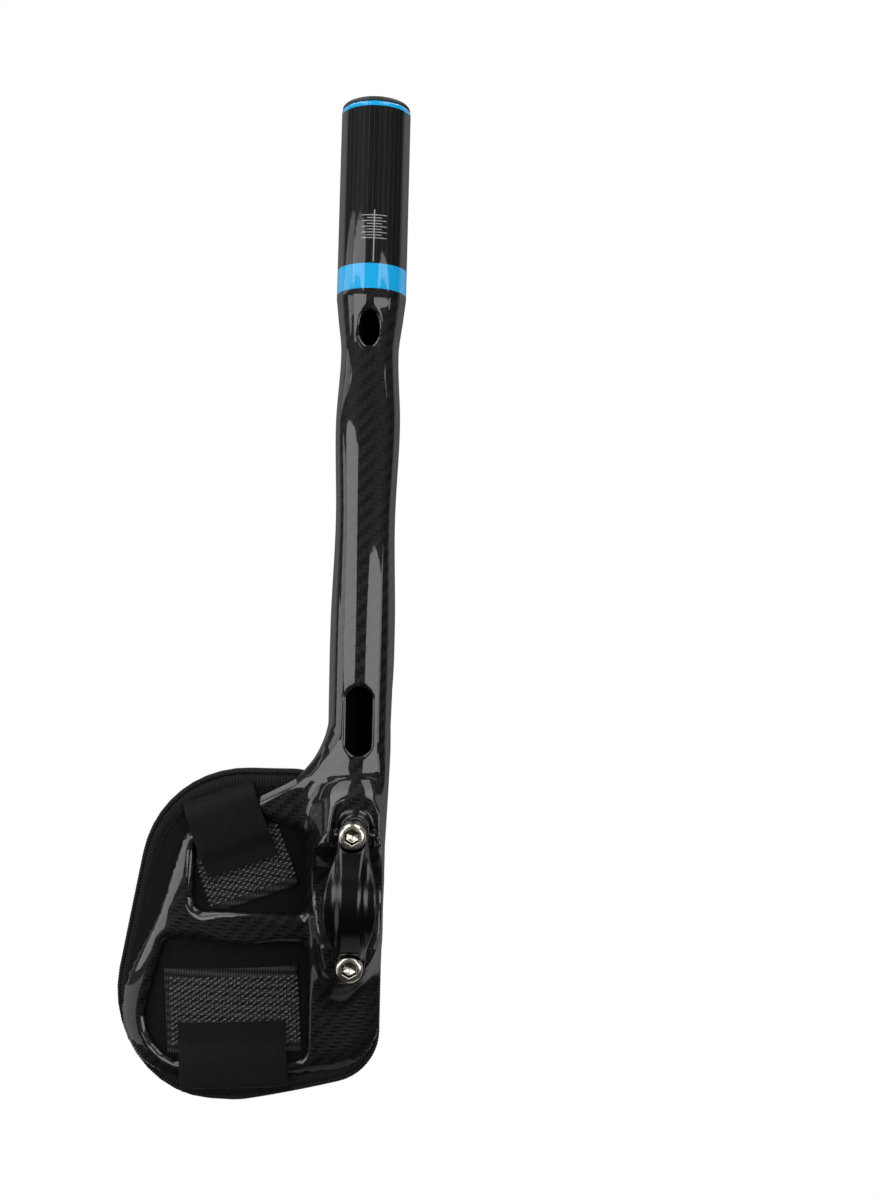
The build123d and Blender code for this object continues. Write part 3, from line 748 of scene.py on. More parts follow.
def close_tree(tree, geometry, material):
    """Ends a tree with real geometry, shaded smooth and in one material."""
    whole = node(tree, "GeometryNodeRealizeInstances", {"Geometry": geometry})
    smooth = node(tree, "GeometryNodeSetShadeSmooth", {"Geometry": whole})
    dressed = node(tree, "GeometryNodeSetMaterial", {"Geometry": smooth, "Material": material})
    node(tree, "NodeGroupOutput", {"Geometry": dressed})
    return tree


def grown(name, source, tree):
    """A plain mesh object from a Geometry Nodes tree run on a source object."""
    modifier = source.modifiers.new(tree.name, "NODES")
    modifier.node_group = tree
    evaluated = source.evaluated_get(bpy.context.evaluated_depsgraph_get())
    mesh = bpy.data.meshes.new_from_object(evaluated)
    mesh.name = name
    made = bpy.data.objects.new(name, mesh)
    bpy.context.scene.collection.objects.link(made)
    bpy.data.objects.remove(source)
    return made


def evenly_spaced(outline, count):
    """Points of a closed outline at even distances along it."""
    spaced = np.concatenate([outline, outline[:1]])
    distance = np.concatenate([[0], np.cumsum(np.abs(np.diff(spaced)))])
    even = np.linspace(0, distance[-1], count, endpoint=False)
    return np.interp(even, distance, spaced.real) + 1j * np.interp(even, distance, spaced.imag)


def closed_curve(name, outline, lift):
    """A closed poly curve along a plan outline at a lift above the trough's underside."""
    even = evenly_spaced(outline, SEWN_LINE_POINTS)
    x, y = even.real, even.imag
    data = bpy.data.curves.new(name, "CURVE")
    data.dimensions = "3D"
    spline = data.splines.new("POLY")
    spline.points.add(len(x) - 1)
    spots = np.stack([x, y, trough_z(x, lift), np.full(len(x), 1 / MM)], 1) * MM
    spline.points.foreach_set("co", spots.ravel())
    spline.use_cyclic_u = True
    made = bpy.data.objects.new(name, data)
    bpy.context.scene.collection.objects.link(made)
    return made


def inset_outline(outline, inset):
    """A closed outline moved inwards, or outwards where inset is negative."""
    run = np.roll(outline, -1) - np.roll(outline, 1)
    inward = 1j * run / np.abs(run)
    area = (outline.real * np.roll(outline, -1).imag - np.roll(outline, -1).real * outline.imag).sum()
    return outline + inset * inward * math.copysign(1, area)


def band_tree(name, width, height, material):
    """Ribbed tape swept along the pad's edge: close ribs across a flat rounded band.
    The attribute rib holds each rib's wave, which the tape's material turns into painted highlight and shade."""
    tree = node_group(name, [
        ("Rib Pitch", "NodeSocketFloat", RIB_PITCH * MM),
        ("Rib Depth", "NodeSocketFloat", 0.07),
        ("Width", "NodeSocketFloat", width * MM),
        ("Height", "NodeSocketFloat", height * MM),
    ])
    given = node(tree, "NodeGroupInput").outputs
    step = node(tree, "ShaderNodeMath", {0: given["Rib Pitch"], 1: RIB_STEPS}, operation="DIVIDE")
    steps = {"Curve": given["Geometry"], "Length": step}
    line = node(tree, "GeometryNodeResampleCurve", steps, mode="LENGTH")
    line = node(tree, "GeometryNodeSetCurveNormal", {"Curve": line}, mode="Z_UP")
    place = node(tree, "GeometryNodeInputIndex")
    phase = node(tree, "ShaderNodeMath", {0: place, 1: 2 * math.pi / RIB_STEPS}, operation="MULTIPLY")
    wave = node(tree, "ShaderNodeMath", {0: phase}, operation="SINE")
    line = node(tree, "GeometryNodeStoreNamedAttribute", {"Geometry": line, "Name": "rib", "Value": wave})
    depth = {0: wave, 1: given["Rib Depth"], 2: 1.0}
    swell = node(tree, "ShaderNodeMath", depth, operation="MULTIPLY_ADD")
    size = node(tree, "ShaderNodeCombineXYZ", {"X": given["Width"], "Y": given["Height"], "Z": 1.0})
    band = node(tree, "GeometryNodeCurvePrimitiveCircle", {"Resolution": 16, "Radius": 0.5})
    band = node(tree, "GeometryNodeTransform", {"Geometry": band, "Scale": size})
    swept = node(tree, "GeometryNodeCurveToMesh", {"Curve": line, "Profile Curve": band, "Scale": swell})
    return close_tree(tree, swept, material)


def stitch_tree(material):
    """Lock stitches along a seam: short rounded threads, end to end."""
    tree = node_group("edge_stitches", [
        ("Stitch Pitch", "NodeSocketFloat", STITCH_PITCH * MM),
        ("Stitch Length", "NodeSocketFloat", 2.2 * MM),
        ("Thread Radius", "NodeSocketFloat", 0.3 * MM),
    ])
    given = node(tree, "NodeGroupInput").outputs
    places = node(
        tree,
        "GeometryNodeCurveToPoints",
        {"Curve": given["Geometry"], "Length": given["Stitch Pitch"]},
        mode="LENGTH",
    ).outputs
    size = node(
        tree,
        "ShaderNodeCombineXYZ",
        {"X": given["Thread Radius"], "Y": given["Thread Radius"], "Z": given["Stitch Length"]},
    )
    thread = node(tree, "GeometryNodeMeshUVSphere", {"Segments": 8, "Rings": 6, "Radius": 1.0})
    half = node(tree, "ShaderNodeVectorMath", {0: size, 1: (1, 1, 0.5)}, operation="MULTIPLY")
    thread = node(tree, "GeometryNodeTransform", {"Geometry": thread, "Scale": half})
    sewn = node(
        tree,
        "GeometryNodeInstanceOnPoints",
        {"Points": places["Points"], "Instance": thread, "Rotation": places["Rotation"]},
    )
    return close_tree(tree, sewn, material)


def hook_tree(material):
    """Nylon hooks on a tape: a bent wire on each place, leaning along diagonal rows."""
    tree = node_group("hook_rows", [
        ("Hook Height", "NodeSocketFloat", 0.62 * MM),
        ("Hook Reach", "NodeSocketFloat", 1.0 * MM),
        ("Wire Radius", "NodeSocketFloat", 0.17 * MM),
        ("Seed", "NodeSocketInt", 5),
    ])
    given = node(tree, "NodeGroupInput").outputs
    rise = node(tree, "ShaderNodeMath", {0: given["Hook Height"], 1: HOOK_CREST}, operation="MULTIPLY")
    crest = node(tree, "ShaderNodeCombineXYZ", {"X": given["Hook Reach"], "Z": rise})
    dip = node(tree, "ShaderNodeMath", {0: given["Hook Height"], 1: HOOK_TIP}, operation="MULTIPLY")
    tip = node(tree, "ShaderNodeCombineXYZ", {"X": given["Hook Reach"], "Z": dip})
    wire = node(
        tree,
        "GeometryNodeCurveQuadraticBezier",
        {"Resolution": 5, "Start": (0, 0, 0), "Middle": crest, "End": tip},
    )
    around = {"Resolution": 5, "Radius": given["Wire Radius"]}
    section = node(tree, "GeometryNodeCurvePrimitiveCircle", around)
    hook = node(
        tree,
        "GeometryNodeCurveToMesh",
        {"Curve": wire, "Profile Curve": section.outputs["Curve"], "Fill Caps": True},
    )
    lean = node(
        tree,
        "FunctionNodeRandomValue",
        {"Min": HOOK_LEAN[0], "Max": HOOK_LEAN[1], "Seed": given["Seed"]},
        data_type="FLOAT_VECTOR",
    )
    rows = node(
        tree,
        "GeometryNodeInstanceOnPoints",
        {"Points": given["Geometry"], "Instance": hook, "Rotation": lean.outputs["Value"]},
    )
    return close_tree(tree, rows, material)


def cloth_pad():
    """The arm pad's cover, swelled by cloth simulation from a slightly smaller copy of its solid."""
    pad = bpy.data.objects.new("arm_pad_cover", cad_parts["arm_pad"].data.copy())
    bpy.context.scene.collection.objects.link(pad)
    form = bmesh.new()
    form.from_mesh(pad.data)
    bmesh.ops.remove_doubles(form, verts=form.verts, dist=1e-5)
    form.to_mesh(pad.data)
    form.free()
    remesh = pad.modifiers.new("even", "REMESH")
    remesh.mode = "VOXEL"
    remesh.voxel_size = PAD_GRID * MM
    shrink = pad.modifiers.new("smaller", "DISPLACE")
    shrink.strength = -PAD_SHRINK * MM
    shrink.mid_level = 0
    settle(pad)
    rest = positions(pad.data)
    inside = np.clip(-outline_distance(rest[:, 0], rest[:, 1], PAD) / EDGE_REACH, 0, 1)
    upper = np.clip((trough_lift(rest) - PAD_LIFT) / PAD_SWELL - 1, 0, 1)
    rest[:, 2] -= PAD_SWELL * upper * inside
    pad.data.vertices.foreach_set("co", (rest * MM).ravel())
    cloth = pad.modifiers.new("swell", "CLOTH")
    cloth.settings.use_pressure = True
    cloth.settings.uniform_pressure_force = PAD_PRESSURE
    cloth.settings.effector_weights.gravity = 0
    for step in range(1, PAD_FRAMES + 1):
        bpy.context.scene.frame_set(step)
    settle(pad)
    bpy.context.scene.frame_set(1)
    swelled = positions(pad.data)
    shift = swelled - rest
    far = np.linalg.norm(shift, axis=1)
    swelled = rest + shift * (np.minimum(far, PAD_SWELL_LIMIT) / np.maximum(far, 1e-6))[:, None]
    swelled[:, 2] += np.maximum(PAD_LIFT - trough_lift(swelled), 0)
    pad.data.vertices.foreach_set("co", (swelled * MM).ravel())
    finer = pad.modifiers.new("finer", "SUBSURF")
    finer.levels = 1
    finer.render_levels = 1
    settle(pad)
    swelled = positions(pad.data)
    for _ in range(EDGE_PASSES):
        swelled = fill_outline(swelled)
    pad.data.vertices.foreach_set("co", (swelled * MM).ravel())
    pad.data.shade_smooth()
    return pad


def fill_outline(points):
    """Points of the swelled pad, with its edge drawn out along the trough to the sewn outline all round."""
    spot = points[:, 0] + 1j * points[:, 1]
    lift = trough_lift(points)
    stations = evenly_spaced(PAD, EDGE_STATIONS)
    nearest = np.abs(spot[:, None] - stations[None, :]).argmin(1)
    depth = outline_distance(spot.real, spot.imag, PAD)
    rim = np.full(EDGE_STATIONS, -EDGE_REACH)
    for shift in range(-EDGE_WINDOW, EDGE_WINDOW + 1):
        np.maximum.at(rim, (nearest + shift) % EDGE_STATIONS, depth)
    rim = sum(np.roll(rim, shift) for shift in range(-EDGE_WINDOW, EDGE_WINDOW + 1)) / (2 * EDGE_WINDOW + 1)
    rim = rim[nearest]
    share = np.clip(1 + (depth - rim) / EDGE_REACH, 0, 1)
    outward = inset_outline(stations, -1) - stations
    spot = spot + outward[nearest] * share * (EDGE_OVERLAP - rim)
    return np.stack([spot.real, spot.imag, trough_z(spot.real, lift)], 1)


def settle(piece):
    """Turns a piece's modifiers into its own plain mesh."""
    evaluated = piece.evaluated_get(bpy.context.evaluated_depsgraph_get())
    mesh = bpy.data.meshes.new_from_object(evaluated)
    piece.modifiers.clear()
    piece.data = mesh


# Finishes
TURNING_PITCH = 0.628
TOW_WIDTH = 1.3
PLY_PITCH = 1.7
PLY_LINE = 0.18
STRAND_WIDTH = 0.5
STRAND_LENGTH = 60.0

# A 2/2 twill repeats every four tows, and its warp lies on top at the first two, steps 0 and 1
TWILL_STEPS = 4.0
WARP_STEPS = 1.5

# Paint and print on the grip, by the distance along it
WIDE_BAND = (1.0, 9.7)
THIN_BAND = (65.2, 66.8)
SCALE_HALF_LINE = 0.22
SCALE_INBOARD = 0.8
SCALE_FROM = 10.2
SCALE_TO = 28.4
TICKS_FROM = 18.5
TICKS_TO = 26.9
TICK_ROOM = 0.3
LONG_TICK_PITCH = 2.0
TICK_HALF_LINE = 0.16
LONG_TICK_HALF = 4.2
SHORT_TICK_HALF = 2.5
PRINT_COVER = 0.45

# A wave texture at scale 1 repeats after this many metres
WAVE_REPEAT = 0.314


def twill_weave(tree, cloth):
    """Place across the warp tows, where they lie on top in a 2/2 twill, and the rounded tows' height."""
    scaled = node(tree, "ShaderNodeVectorMath", {0: cloth, "Scale": 1 / (TOW_WIDTH * MM)}, operation="SCALE")
    tows = node(tree, "ShaderNodeSeparateXYZ", {0: scaled}).outputs[:2]
    counts, rounds = [], []
    for tow in tows:
        counts.append(node(tree, "ShaderNodeMath", {0: tow}, operation="FLOOR"))
        share = node(tree, "ShaderNodeMath", {0: tow}, operation="FRACT")
        turn = node(tree, "ShaderNodeMath", {0: share, 1: math.pi}, operation="MULTIPLY")
        rounds.append(node(tree, "ShaderNodeMath", {0: turn}, operation="SINE"))
    crossing = node(tree, "ShaderNodeMath", {0: counts[0], 1: counts[1]}, operation="ADD")
    stagger = node(tree, "ShaderNodeMath", {0: crossing, 1: TWILL_STEPS}, operation="FLOORED_MODULO")
    warp_up = node(tree, "ShaderNodeMath", {0: stagger, 1: WARP_STEPS}, operation="LESS_THAN")
    height = node(tree, "ShaderNodeMix", {0: warp_up, 2: rounds[1], 3: rounds[0]})
    return tows[0], warp_up, height


def band_of(tree, along, low, high):
    """Mask of a band round the grip between two distances along it."""
    middle, half = (low + high) / 2, (high - low) / 2
    return node(tree, "ShaderNodeMath", {0: along, 1: middle, 2: half}, operation="COMPARE")


def printed_scale(tree, place, along):
    """Mask of the scale printed under the grip: a line with long ticks, and short ones halfway between."""
    spot = node(tree, "ShaderNodeSeparateXYZ", {0: place}).outputs
    offset = {0: spot[0], 1: 1 / MM, 2: SCALE_INBOARD}
    across = node(tree, "ShaderNodeMath", offset, operation="MULTIPLY_ADD")
    across = node(tree, "ShaderNodeMath", {0: across}, operation="ABSOLUTE")
    from_tick = node(tree, "ShaderNodeMath", {0: along, 1: TICKS_FROM}, operation="SUBTRACT")
    ticks = []
    for pitch, half in ((LONG_TICK_PITCH, LONG_TICK_HALF), (LONG_TICK_PITCH / 2, SHORT_TICK_HALF)):
        nearest = node(tree, "ShaderNodeMath", {0: from_tick, 1: pitch / 2}, operation="PINGPONG")
        on_tick = node(tree, "ShaderNodeMath", {0: nearest, 1: TICK_HALF_LINE}, operation="LESS_THAN")
        within = node(tree, "ShaderNodeMath", {0: across, 1: half}, operation="LESS_THAN")
        ticks.append(node(tree, "ShaderNodeMath", {0: on_tick, 1: within}, operation="MULTIPLY"))
    row = node(tree, "ShaderNodeMath", {0: ticks[0], 1: ticks[1]}, operation="MAXIMUM")
    row_ends = band_of(tree, along, TICKS_FROM - TICK_ROOM, TICKS_TO)
    row = node(tree, "ShaderNodeMath", {0: row, 1: row_ends}, operation="MULTIPLY")
    line = node(tree, "ShaderNodeMath", {0: across, 1: SCALE_HALF_LINE}, operation="LESS_THAN")
    line_ends = band_of(tree, along, SCALE_FROM, SCALE_TO)
    line = node(tree, "ShaderNodeMath", {0: line, 1: line_ends}, operation="MULTIPLY")
    marks = node(tree, "ShaderNodeMath", {0: row, 1: line}, operation="MAXIMUM")
    ahead = node(tree, "ShaderNodeMath", {0: spot[1], 1: GRIP_Y * MM}, operation="SUBTRACT")
    axis = {0: ahead, 1: math.tan(GRIP_TILT), 2: GRIP_Z * MM}
    axis_z = node(tree, "ShaderNodeMath", axis, operation="MULTIPLY_ADD")
    below = node(tree, "ShaderNodeMath", {0: spot[2], 1: axis_z}, operation="LESS_THAN")
    marks = node(tree, "ShaderNodeMath", {0: marks, 1: below}, operation="MULTIPLY")
    return node(tree, "ShaderNodeMath", {0: marks, 1: PRINT_COVER}, operation="MULTIPLY")


def clear_coated_carbon():
    """Twill carbon cloth under gloss lacquer: near-black tows that glint as they cross, the warp tows on top
    painted lighter as a painted sheen.
    The grip has straight plies, painted blue bands and a printed millimetre scale."""
    material, tree, shader = finish_of("clear_coated_carbon", "070708", {
        "Roughness": 0.45,
        "Specular IOR Level": 0.15,
        "Coat Weight": 1.0,
        "Coat Roughness": 0.03,
        "Coat IOR": 1.5,
    })
    place = node(tree, "ShaderNodeTexCoord").outputs["Object"]
    start = (0, GRIP_Y * MM, GRIP_Z * MM)
    from_start = node(tree, "ShaderNodeVectorMath", {0: place, 1: start}, operation="SUBTRACT")
    along = node(tree, "ShaderNodeVectorMath", {0: from_start, 1: GRIP_AXIS}, operation="DOT_PRODUCT")
    along = node(tree, "ShaderNodeMath", {0: along.outputs["Value"], 1: 1 / MM}, operation="MULTIPLY")
    on_grip = node(tree, "ShaderNodeMath", {0: along, 1: WIDE_BAND[0]}, operation="GREATER_THAN")

    cloth = node(tree, "ShaderNodeUVMap", uv_map="weave")
    across_tows, warp_up, height = twill_weave(tree, cloth)
    stretch = (1 / (STRAND_WIDTH * MM), 1 / (STRAND_LENGTH * MM), 1)
    fibre = node(tree, "ShaderNodeVectorMath", {0: cloth, 1: stretch}, operation="MULTIPLY")
    strands = node(tree, "ShaderNodeTexNoise", {"Vector": fibre, "Scale": 1.0, "Detail": 2.0})
    height = node(tree, "ShaderNodeMix", {0: on_grip, 2: height, 3: strands})
    bump = node(tree, "ShaderNodeBump", {"Height": height, "Strength": 0.5, "Distance": 0.15 * MM})
    tree.links.new(bump.outputs[0], shader.inputs["Normal"])

    off_grip = node(tree, "ShaderNodeMath", {0: 1.0, 1: on_grip}, operation="SUBTRACT")
    painted_warp_sheen = node(tree, "ShaderNodeMath", {0: warp_up, 1: off_grip}, operation="MULTIPLY")
    from_ply = node(tree, "ShaderNodeMath", {0: across_tows, 1: TOW_WIDTH}, operation="MULTIPLY")
    from_ply = node(tree, "ShaderNodeMath", {0: from_ply, 1: PLY_PITCH / 2}, operation="PINGPONG")
    plies = node(tree, "ShaderNodeMath", {0: from_ply, 1: PLY_LINE}, operation="LESS_THAN")
    plies = node(tree, "ShaderNodeMath", {0: strands, 1: plies}, operation="MULTIPLY")
    plies = node(tree, "ShaderNodeMath", {0: plies, 1: on_grip}, operation="MULTIPLY")
    bands = [band_of(tree, along, *band) for band in (WIDE_BAND, THIN_BAND)]
    paint = node(tree, "ShaderNodeMath", {0: bands[0], 1: bands[1]}, operation="MAXIMUM")
    print_marks = printed_scale(tree, place, along)
    color = srgb("060607")
    # The warp tows on top are a lighter tone than the rest: a painted sheen.
    layers = ((painted_warp_sheen, "141415"), (plies, "2a2a2b"), (paint, "10a6e4"), (print_marks, "d8d8d4"))
    for mask, code in layers:
        color = node(tree, "ShaderNodeMix", {0: mask, 6: color, 7: srgb(code)}, data_type="RGBA").outputs[2]
    tree.links.new(color, shader.inputs["Base Color"])
    return material


def grained(name, color, values, grain, detail, strength, depth):
    """A finish with a noisy relief, whose grain and depth are in millimetres."""
    material, tree, shader = finish_of(name, color, values)
    place = node(tree, "ShaderNodeTexCoord").outputs["Object"]
    noise = node(tree, "ShaderNodeTexNoise", {"Vector": place, "Scale": 1 / (grain * MM), "Detail": detail})
    bump = node(tree, "ShaderNodeBump", {"Height": noise, "Strength": strength, "Distance": depth * MM})
    tree.links.new(bump.outputs[0], shader.inputs["Normal"])
    return material, tree, shader, noise


def satin_anodised():
    """Black anodised aluminium, bead-blasted: satin black with a fine even grain."""
    material, tree, shader, noise = grained(
        "satin_anodised_aluminium",
        "040405",
        {"Roughness": 0.22, "IOR": 1.5},
        grain=0.25,
        detail=2.0,
        strength=0.12,
        depth=0.05,
    )
    tone = node(tree, "ShaderNodeMix", {0: noise, 6: srgb("040405"), 7: srgb("080809")}, data_type="RGBA")
    tree.links.new(tone.outputs[2], shader.inputs["Base Color"])
    return material


def moulded_rubber():
    """Moulded black rubber of the grip's plug: dull, with a fine spark-eroded texture."""
    values = {"Roughness": 0.55}
    return grained("moulded_rubber", "1c1c1d", values, grain=0.5, detail=3.0, strength=0.35, depth=0.1)[0]


def bare_carbon():
    """Unlacquered carbon inside the tube: dull black, with the bladder's soft wrinkles."""
    values = {"Roughness": 0.8, "Specular IOR Level": 0.2}
    return grained("bare_carbon", "040404", values, grain=4.0, detail=2.0, strength=0.4, depth=0.3)[0]


def polished_stainless():
    """Polished stainless steel: bright and slightly warm, with a faintly uneven polish."""
    material, tree, shader = finish_of("polished_stainless", "d6d0c2", {"Metallic": 1.0, "Roughness": 0.24})
    place = node(tree, "ShaderNodeTexCoord").outputs["Object"]
    polish = node(tree, "ShaderNodeTexNoise", {"Vector": place, "Scale": 1 / (2 * MM), "Detail": 1.0})
    rough = node(tree, "ShaderNodeMapRange", {"Value": polish, "To Min": 0.2, "To Max": 0.28})
    tree.links.new(rough.outputs[0], shader.inputs["Roughness"])
    return material


def socket_shade():
    """Broached walls of the bolts' sockets: the same steel, dulled by oil and dirt, and darkened to a painted
    shade.
    """
    return finish_of("painted_socket_shade", "1c1a17", {"Metallic": 1.0, "Roughness": 0.45})[0]


def machined_aluminium():
    """Machined aluminium of the threaded inserts, with fine turning rings."""
    material, tree, shader = finish_of("machined_aluminium", "b4b4b6", {"Metallic": 1.0, "Roughness": 0.35})
    place = node(tree, "ShaderNodeTexCoord").outputs["Object"]
    turning = {"Vector": place, "Scale": WAVE_REPEAT / (TURNING_PITCH * MM)}
    rings = node(tree, "ShaderNodeTexWave", turning, bands_direction="Z")
    bump = node(tree, "ShaderNodeBump", {"Height": rings, "Strength": 0.2, "Distance": 0.05 * MM})
    tree.links.new(bump.outputs[0], shader.inputs["Normal"])
    return material


def knit(name, dark, light, pitch, strength, roughness, loop_length=1.0):
    """Black knitted or woven cloth: rows of small loops whose lighter tone is a painted highlight, with a
    soft sheen.
    The pitch is coarser than real yarn so that it shows; long loops look like ribs."""
    material, tree, shader = finish_of(name, dark, {
        "Roughness": roughness,
        "Sheen Weight": 0.03,
        "Specular IOR Level": 0.2,
        "Sheen Roughness": 0.5,
    })
    place = node(tree, "ShaderNodeTexCoord").outputs["Object"]
    loop = pitch * MM
    waves = []
    for direction, run in (("X", loop), ("Y", loop_length * loop)):
        wave = {"Vector": place, "Scale": WAVE_REPEAT / run}
        waves.append(node(tree, "ShaderNodeTexWave", wave, bands_direction=direction).outputs[1])
    loops = node(tree, "ShaderNodeMath", {0: waves[0], 1: waves[1]}, operation="MULTIPLY")
    fuzz = node(tree, "ShaderNodeTexNoise", {"Vector": place, "Scale": 1 / loop, "Detail": 3.0})
    relief = node(tree, "ShaderNodeMath", {0: loops, 1: fuzz}, operation="ADD")
    bump = node(tree, "ShaderNodeBump", {"Height": relief, "Strength": strength, "Distance": 0.2 * MM})
    tree.links.new(bump.outputs[0], shader.inputs["Normal"])
    # Lighter tone on the loops: a painted highlight.
    loop_highlight = node(tree, "ShaderNodeMath", {0: loops, 1: fuzz}, operation="MULTIPLY")
    tone = node(tree, "ShaderNodeMix", {0: loop_highlight, 6: srgb(dark), 7: srgb(light)}, data_type="RGBA")
    tree.links.new(tone.outputs[2], shader.inputs["Base Color"])
    return material


def ribbed_tape_painted_shading():
    """Woven polyester binding: close ribs across the tape, with painted highlight on their crests and painted
    shade between them.
    """
    values = {"Roughness": 0.85, "Specular IOR Level": 0.2}
    material, tree, shader = finish_of("binding_rib_painted_shading", "0a0a0a", values)
    rib = node(tree, "ShaderNodeAttribute", attribute_name="rib").outputs["Fac"]
    # Rib crests painted pale and the hollows between them painted dark: painted highlight and shade.
    crest = node(tree, "ShaderNodeMapRange", {"Value": rib, "From Min": -1.0})
    tone = node(tree, "ShaderNodeMix", {0: crest, 6: srgb("040404"), 7: srgb("212122")}, data_type="RGBA")
    tree.links.new(tone.outputs[2], shader.inputs["Base Color"])
    return material


def nylon_hooks_painted_glint():
    """Clear-black nylon monofilament: thin smooth wires that glint, coloured mid to light grey as a painted
    glint.
    """
    material, tree, shader = finish_of("nylon_hooks_painted_glint", "2a2a2b", {"Roughness": 0.3})
    place = node(tree, "ShaderNodeTexCoord").outputs["Object"]
    tone = node(tree, "ShaderNodeTexNoise", {"Vector": place, "Scale": 1 / (2 * MM)})
    # Grey tones, lighter at random, on black nylon: a painted glint.
    mix = node(tree, "ShaderNodeMix", {0: tone, 6: srgb("444446"), 7: srgb("949496")}, data_type="RGBA")
    tree.links.new(mix.outputs[2], shader.inputs["Base Color"])
    return material


CARBON = clear_coated_carbon()
BARE_CARBON = bare_carbon()
ANODISED = satin_anodised()
STAINLESS = polished_stainless()
PAINTED_SOCKET_SHADE = socket_shade()
INSERT_METAL = machined_aluminium()
RUBBER = moulded_rubber()
PAD_CLOTH = knit("pad_knit", "030303", "0c0c0c", 0.7, 0.5, 0.9)
BINDING_PAINTED_SHADING = ribbed_tape_painted_shading()
STRAP_CLOTH = knit("strap_fine_knit", "050506", "1e1e20", 0.6, 0.6, 0.85)
TAPE_CLOTH = knit("hook_tape_base", "0b0b0c", "5a5a5c", 0.9, 0.6, 0.8, loop_length=3.0)
HOOK_PAINTED_GLINT = nylon_hooks_painted_glint()

# Hard pieces
body_low, body_high = (np.array(corner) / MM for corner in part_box("extension_body"))
body = skin("carbon_moulding", carbon_body, body_low - BODY_GRID_ROOM, body_high + BODY_GRID_ROOM, BODY_GRID)
fit_out(body, "extension_body", CARBON)
body.data.materials.append(BARE_CARBON)
lay_weave(body)
cap_low, cap_high = (np.array(corner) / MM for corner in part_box("clamp_cap"))
cap = skin("satin_clamp_cap", cap_form, cap_low - CAP_GRID_ROOM, cap_high + CAP_GRID_ROOM, CAP_GRID)
fit_out(cap, "clamp_cap", ANODISED)
for name, bolt_y in (("front_clamp_bolt", BOLT_Y), ("rear_clamp_bolt", -BOLT_Y)):
    bolt = loft(name + "_turned", bolt_rings() + np.array([0, bolt_y, 0]))
    fit_out(bolt, name, STAINLESS)
    # The socket's wall faces take the darker steel, a painted shade.
    bolt.data.materials.append(PAINTED_SOCKET_SHADE)
    for face in bolt.data.polygons[SOCKET_WALL_FACES]:
        face.material_index = 1
for name in ("front_thread_insert", "rear_thread_insert"):
    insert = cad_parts[name]
    insert.data.materials.clear()
    insert.data.materials.append(INSERT_METAL)
plug = loft("grip_end_plug", plug_rings())
fit_out(plug, "end_plug", RUBBER)

# Soft pieces
pad = cloth_pad()
fit_out(pad, "arm_pad", PAD_CLOTH)
binding_tree = band_tree("ribbed_binding", BINDING_WIDTH, BINDING_HEIGHT, BINDING_PAINTED_SHADING)
lining_tree = band_tree("sewn_lining", LINING_WIDTH, LINING_HEIGHT, BINDING_PAINTED_SHADING)
for name, node_name, inset, lift, tree in (
    ("ribbed_edge_binding", "pad_edge_binding", -BINDING_WIDTH / 2, BINDING_HEIGHT / 2, binding_tree),
    ("pad_edge_lining", None, LINING_INSET, LINING_HEIGHT / 2, lining_tree),
    ("pad_edge_stitches", None, SEAM_INSET, SEAM_LIFT, stitch_tree(BINDING_PAINTED_SHADING)),
):
    line = closed_curve(name + "_line", inset_outline(PAD, inset), PAD_LIFT + lift)
    fit_out(grown(name, line, tree), node_name, BINDING_PAINTED_SHADING)

for name, turn, (center, width), path in (
    ("front_strap", FRONT_TURN, FRONT_STRAP, FRONT_STRAP_PATH),
    ("rear_strap", REAR_TURN, REAR_STRAP, REAR_STRAP_PATH),
):
    strap, line = strap_form(name + "_tape", turn, center, width, path)
    fit_out(strap, name, STRAP_CLOTH)

for name, turn, patch, corners, window, bands in (
    ("front_hook_patch", FRONT_TURN, FRONT_PATCH, FRONT_WINDOW_CORNERS, FRONT_WINDOW, FRONT_PATCH_BANDS),
    ("rear_hook_patch", REAR_TURN, REAR_PATCH, REAR_WINDOW_CORNERS, REAR_WINDOW, REAR_PATCH_BANDS),
):
    tape = patch_form(name + "_tape", turn, *patch, corners)
    fit_out(tape, name, TAPE_CLOTH)
    places = mesh_object(name + "_places", hook_places(turn, *patch, window, bands), [])
    hooks = grown(name + "_hooks", places, hook_tree(HOOK_PAINTED_GLINT))
    fit_out(hooks, None, HOOK_PAINTED_GLINT)


# Studio, in metres and degrees: the view is from below, so its lights stand round and under the object.
# The dome has a brightness for each height of a heading, and fades into the dark room at its rim.
DOME_LEVELS = ((0.0, 0.7), (0.5, 0.62), (0.87, 0.2), (1.0, 0.08))
DOME_RIM = (0.2, 0.36)
DOME_END_RISE = -0.35
ROOM_LEVEL = 0.025
FACING_UP = 180.0
UPRIGHT = 90.0
FACING_DOWN = 0.0


def soft_panel(name, place, size, level, yaw=0.0, pitch=FACING_UP, roll=0.0, glossy=True):
    """A large soft light of even brightness, unseen by the camera itself; its turns are in degrees."""
    data = bpy.data.lights.new(name, "AREA")
    data.shape = "RECTANGLE"
    data.size, data.size_y = size
    data.energy = level * math.pi * size[0] * size[1]
    made = bpy.data.objects.new(name, data)
    bpy.context.scene.collection.objects.link(made)
    made.location = place
    made.rotation_euler = [math.radians(turn) for turn in (pitch, roll, yaw)]
    made.visible_camera = False
    made.visible_glossy = glossy


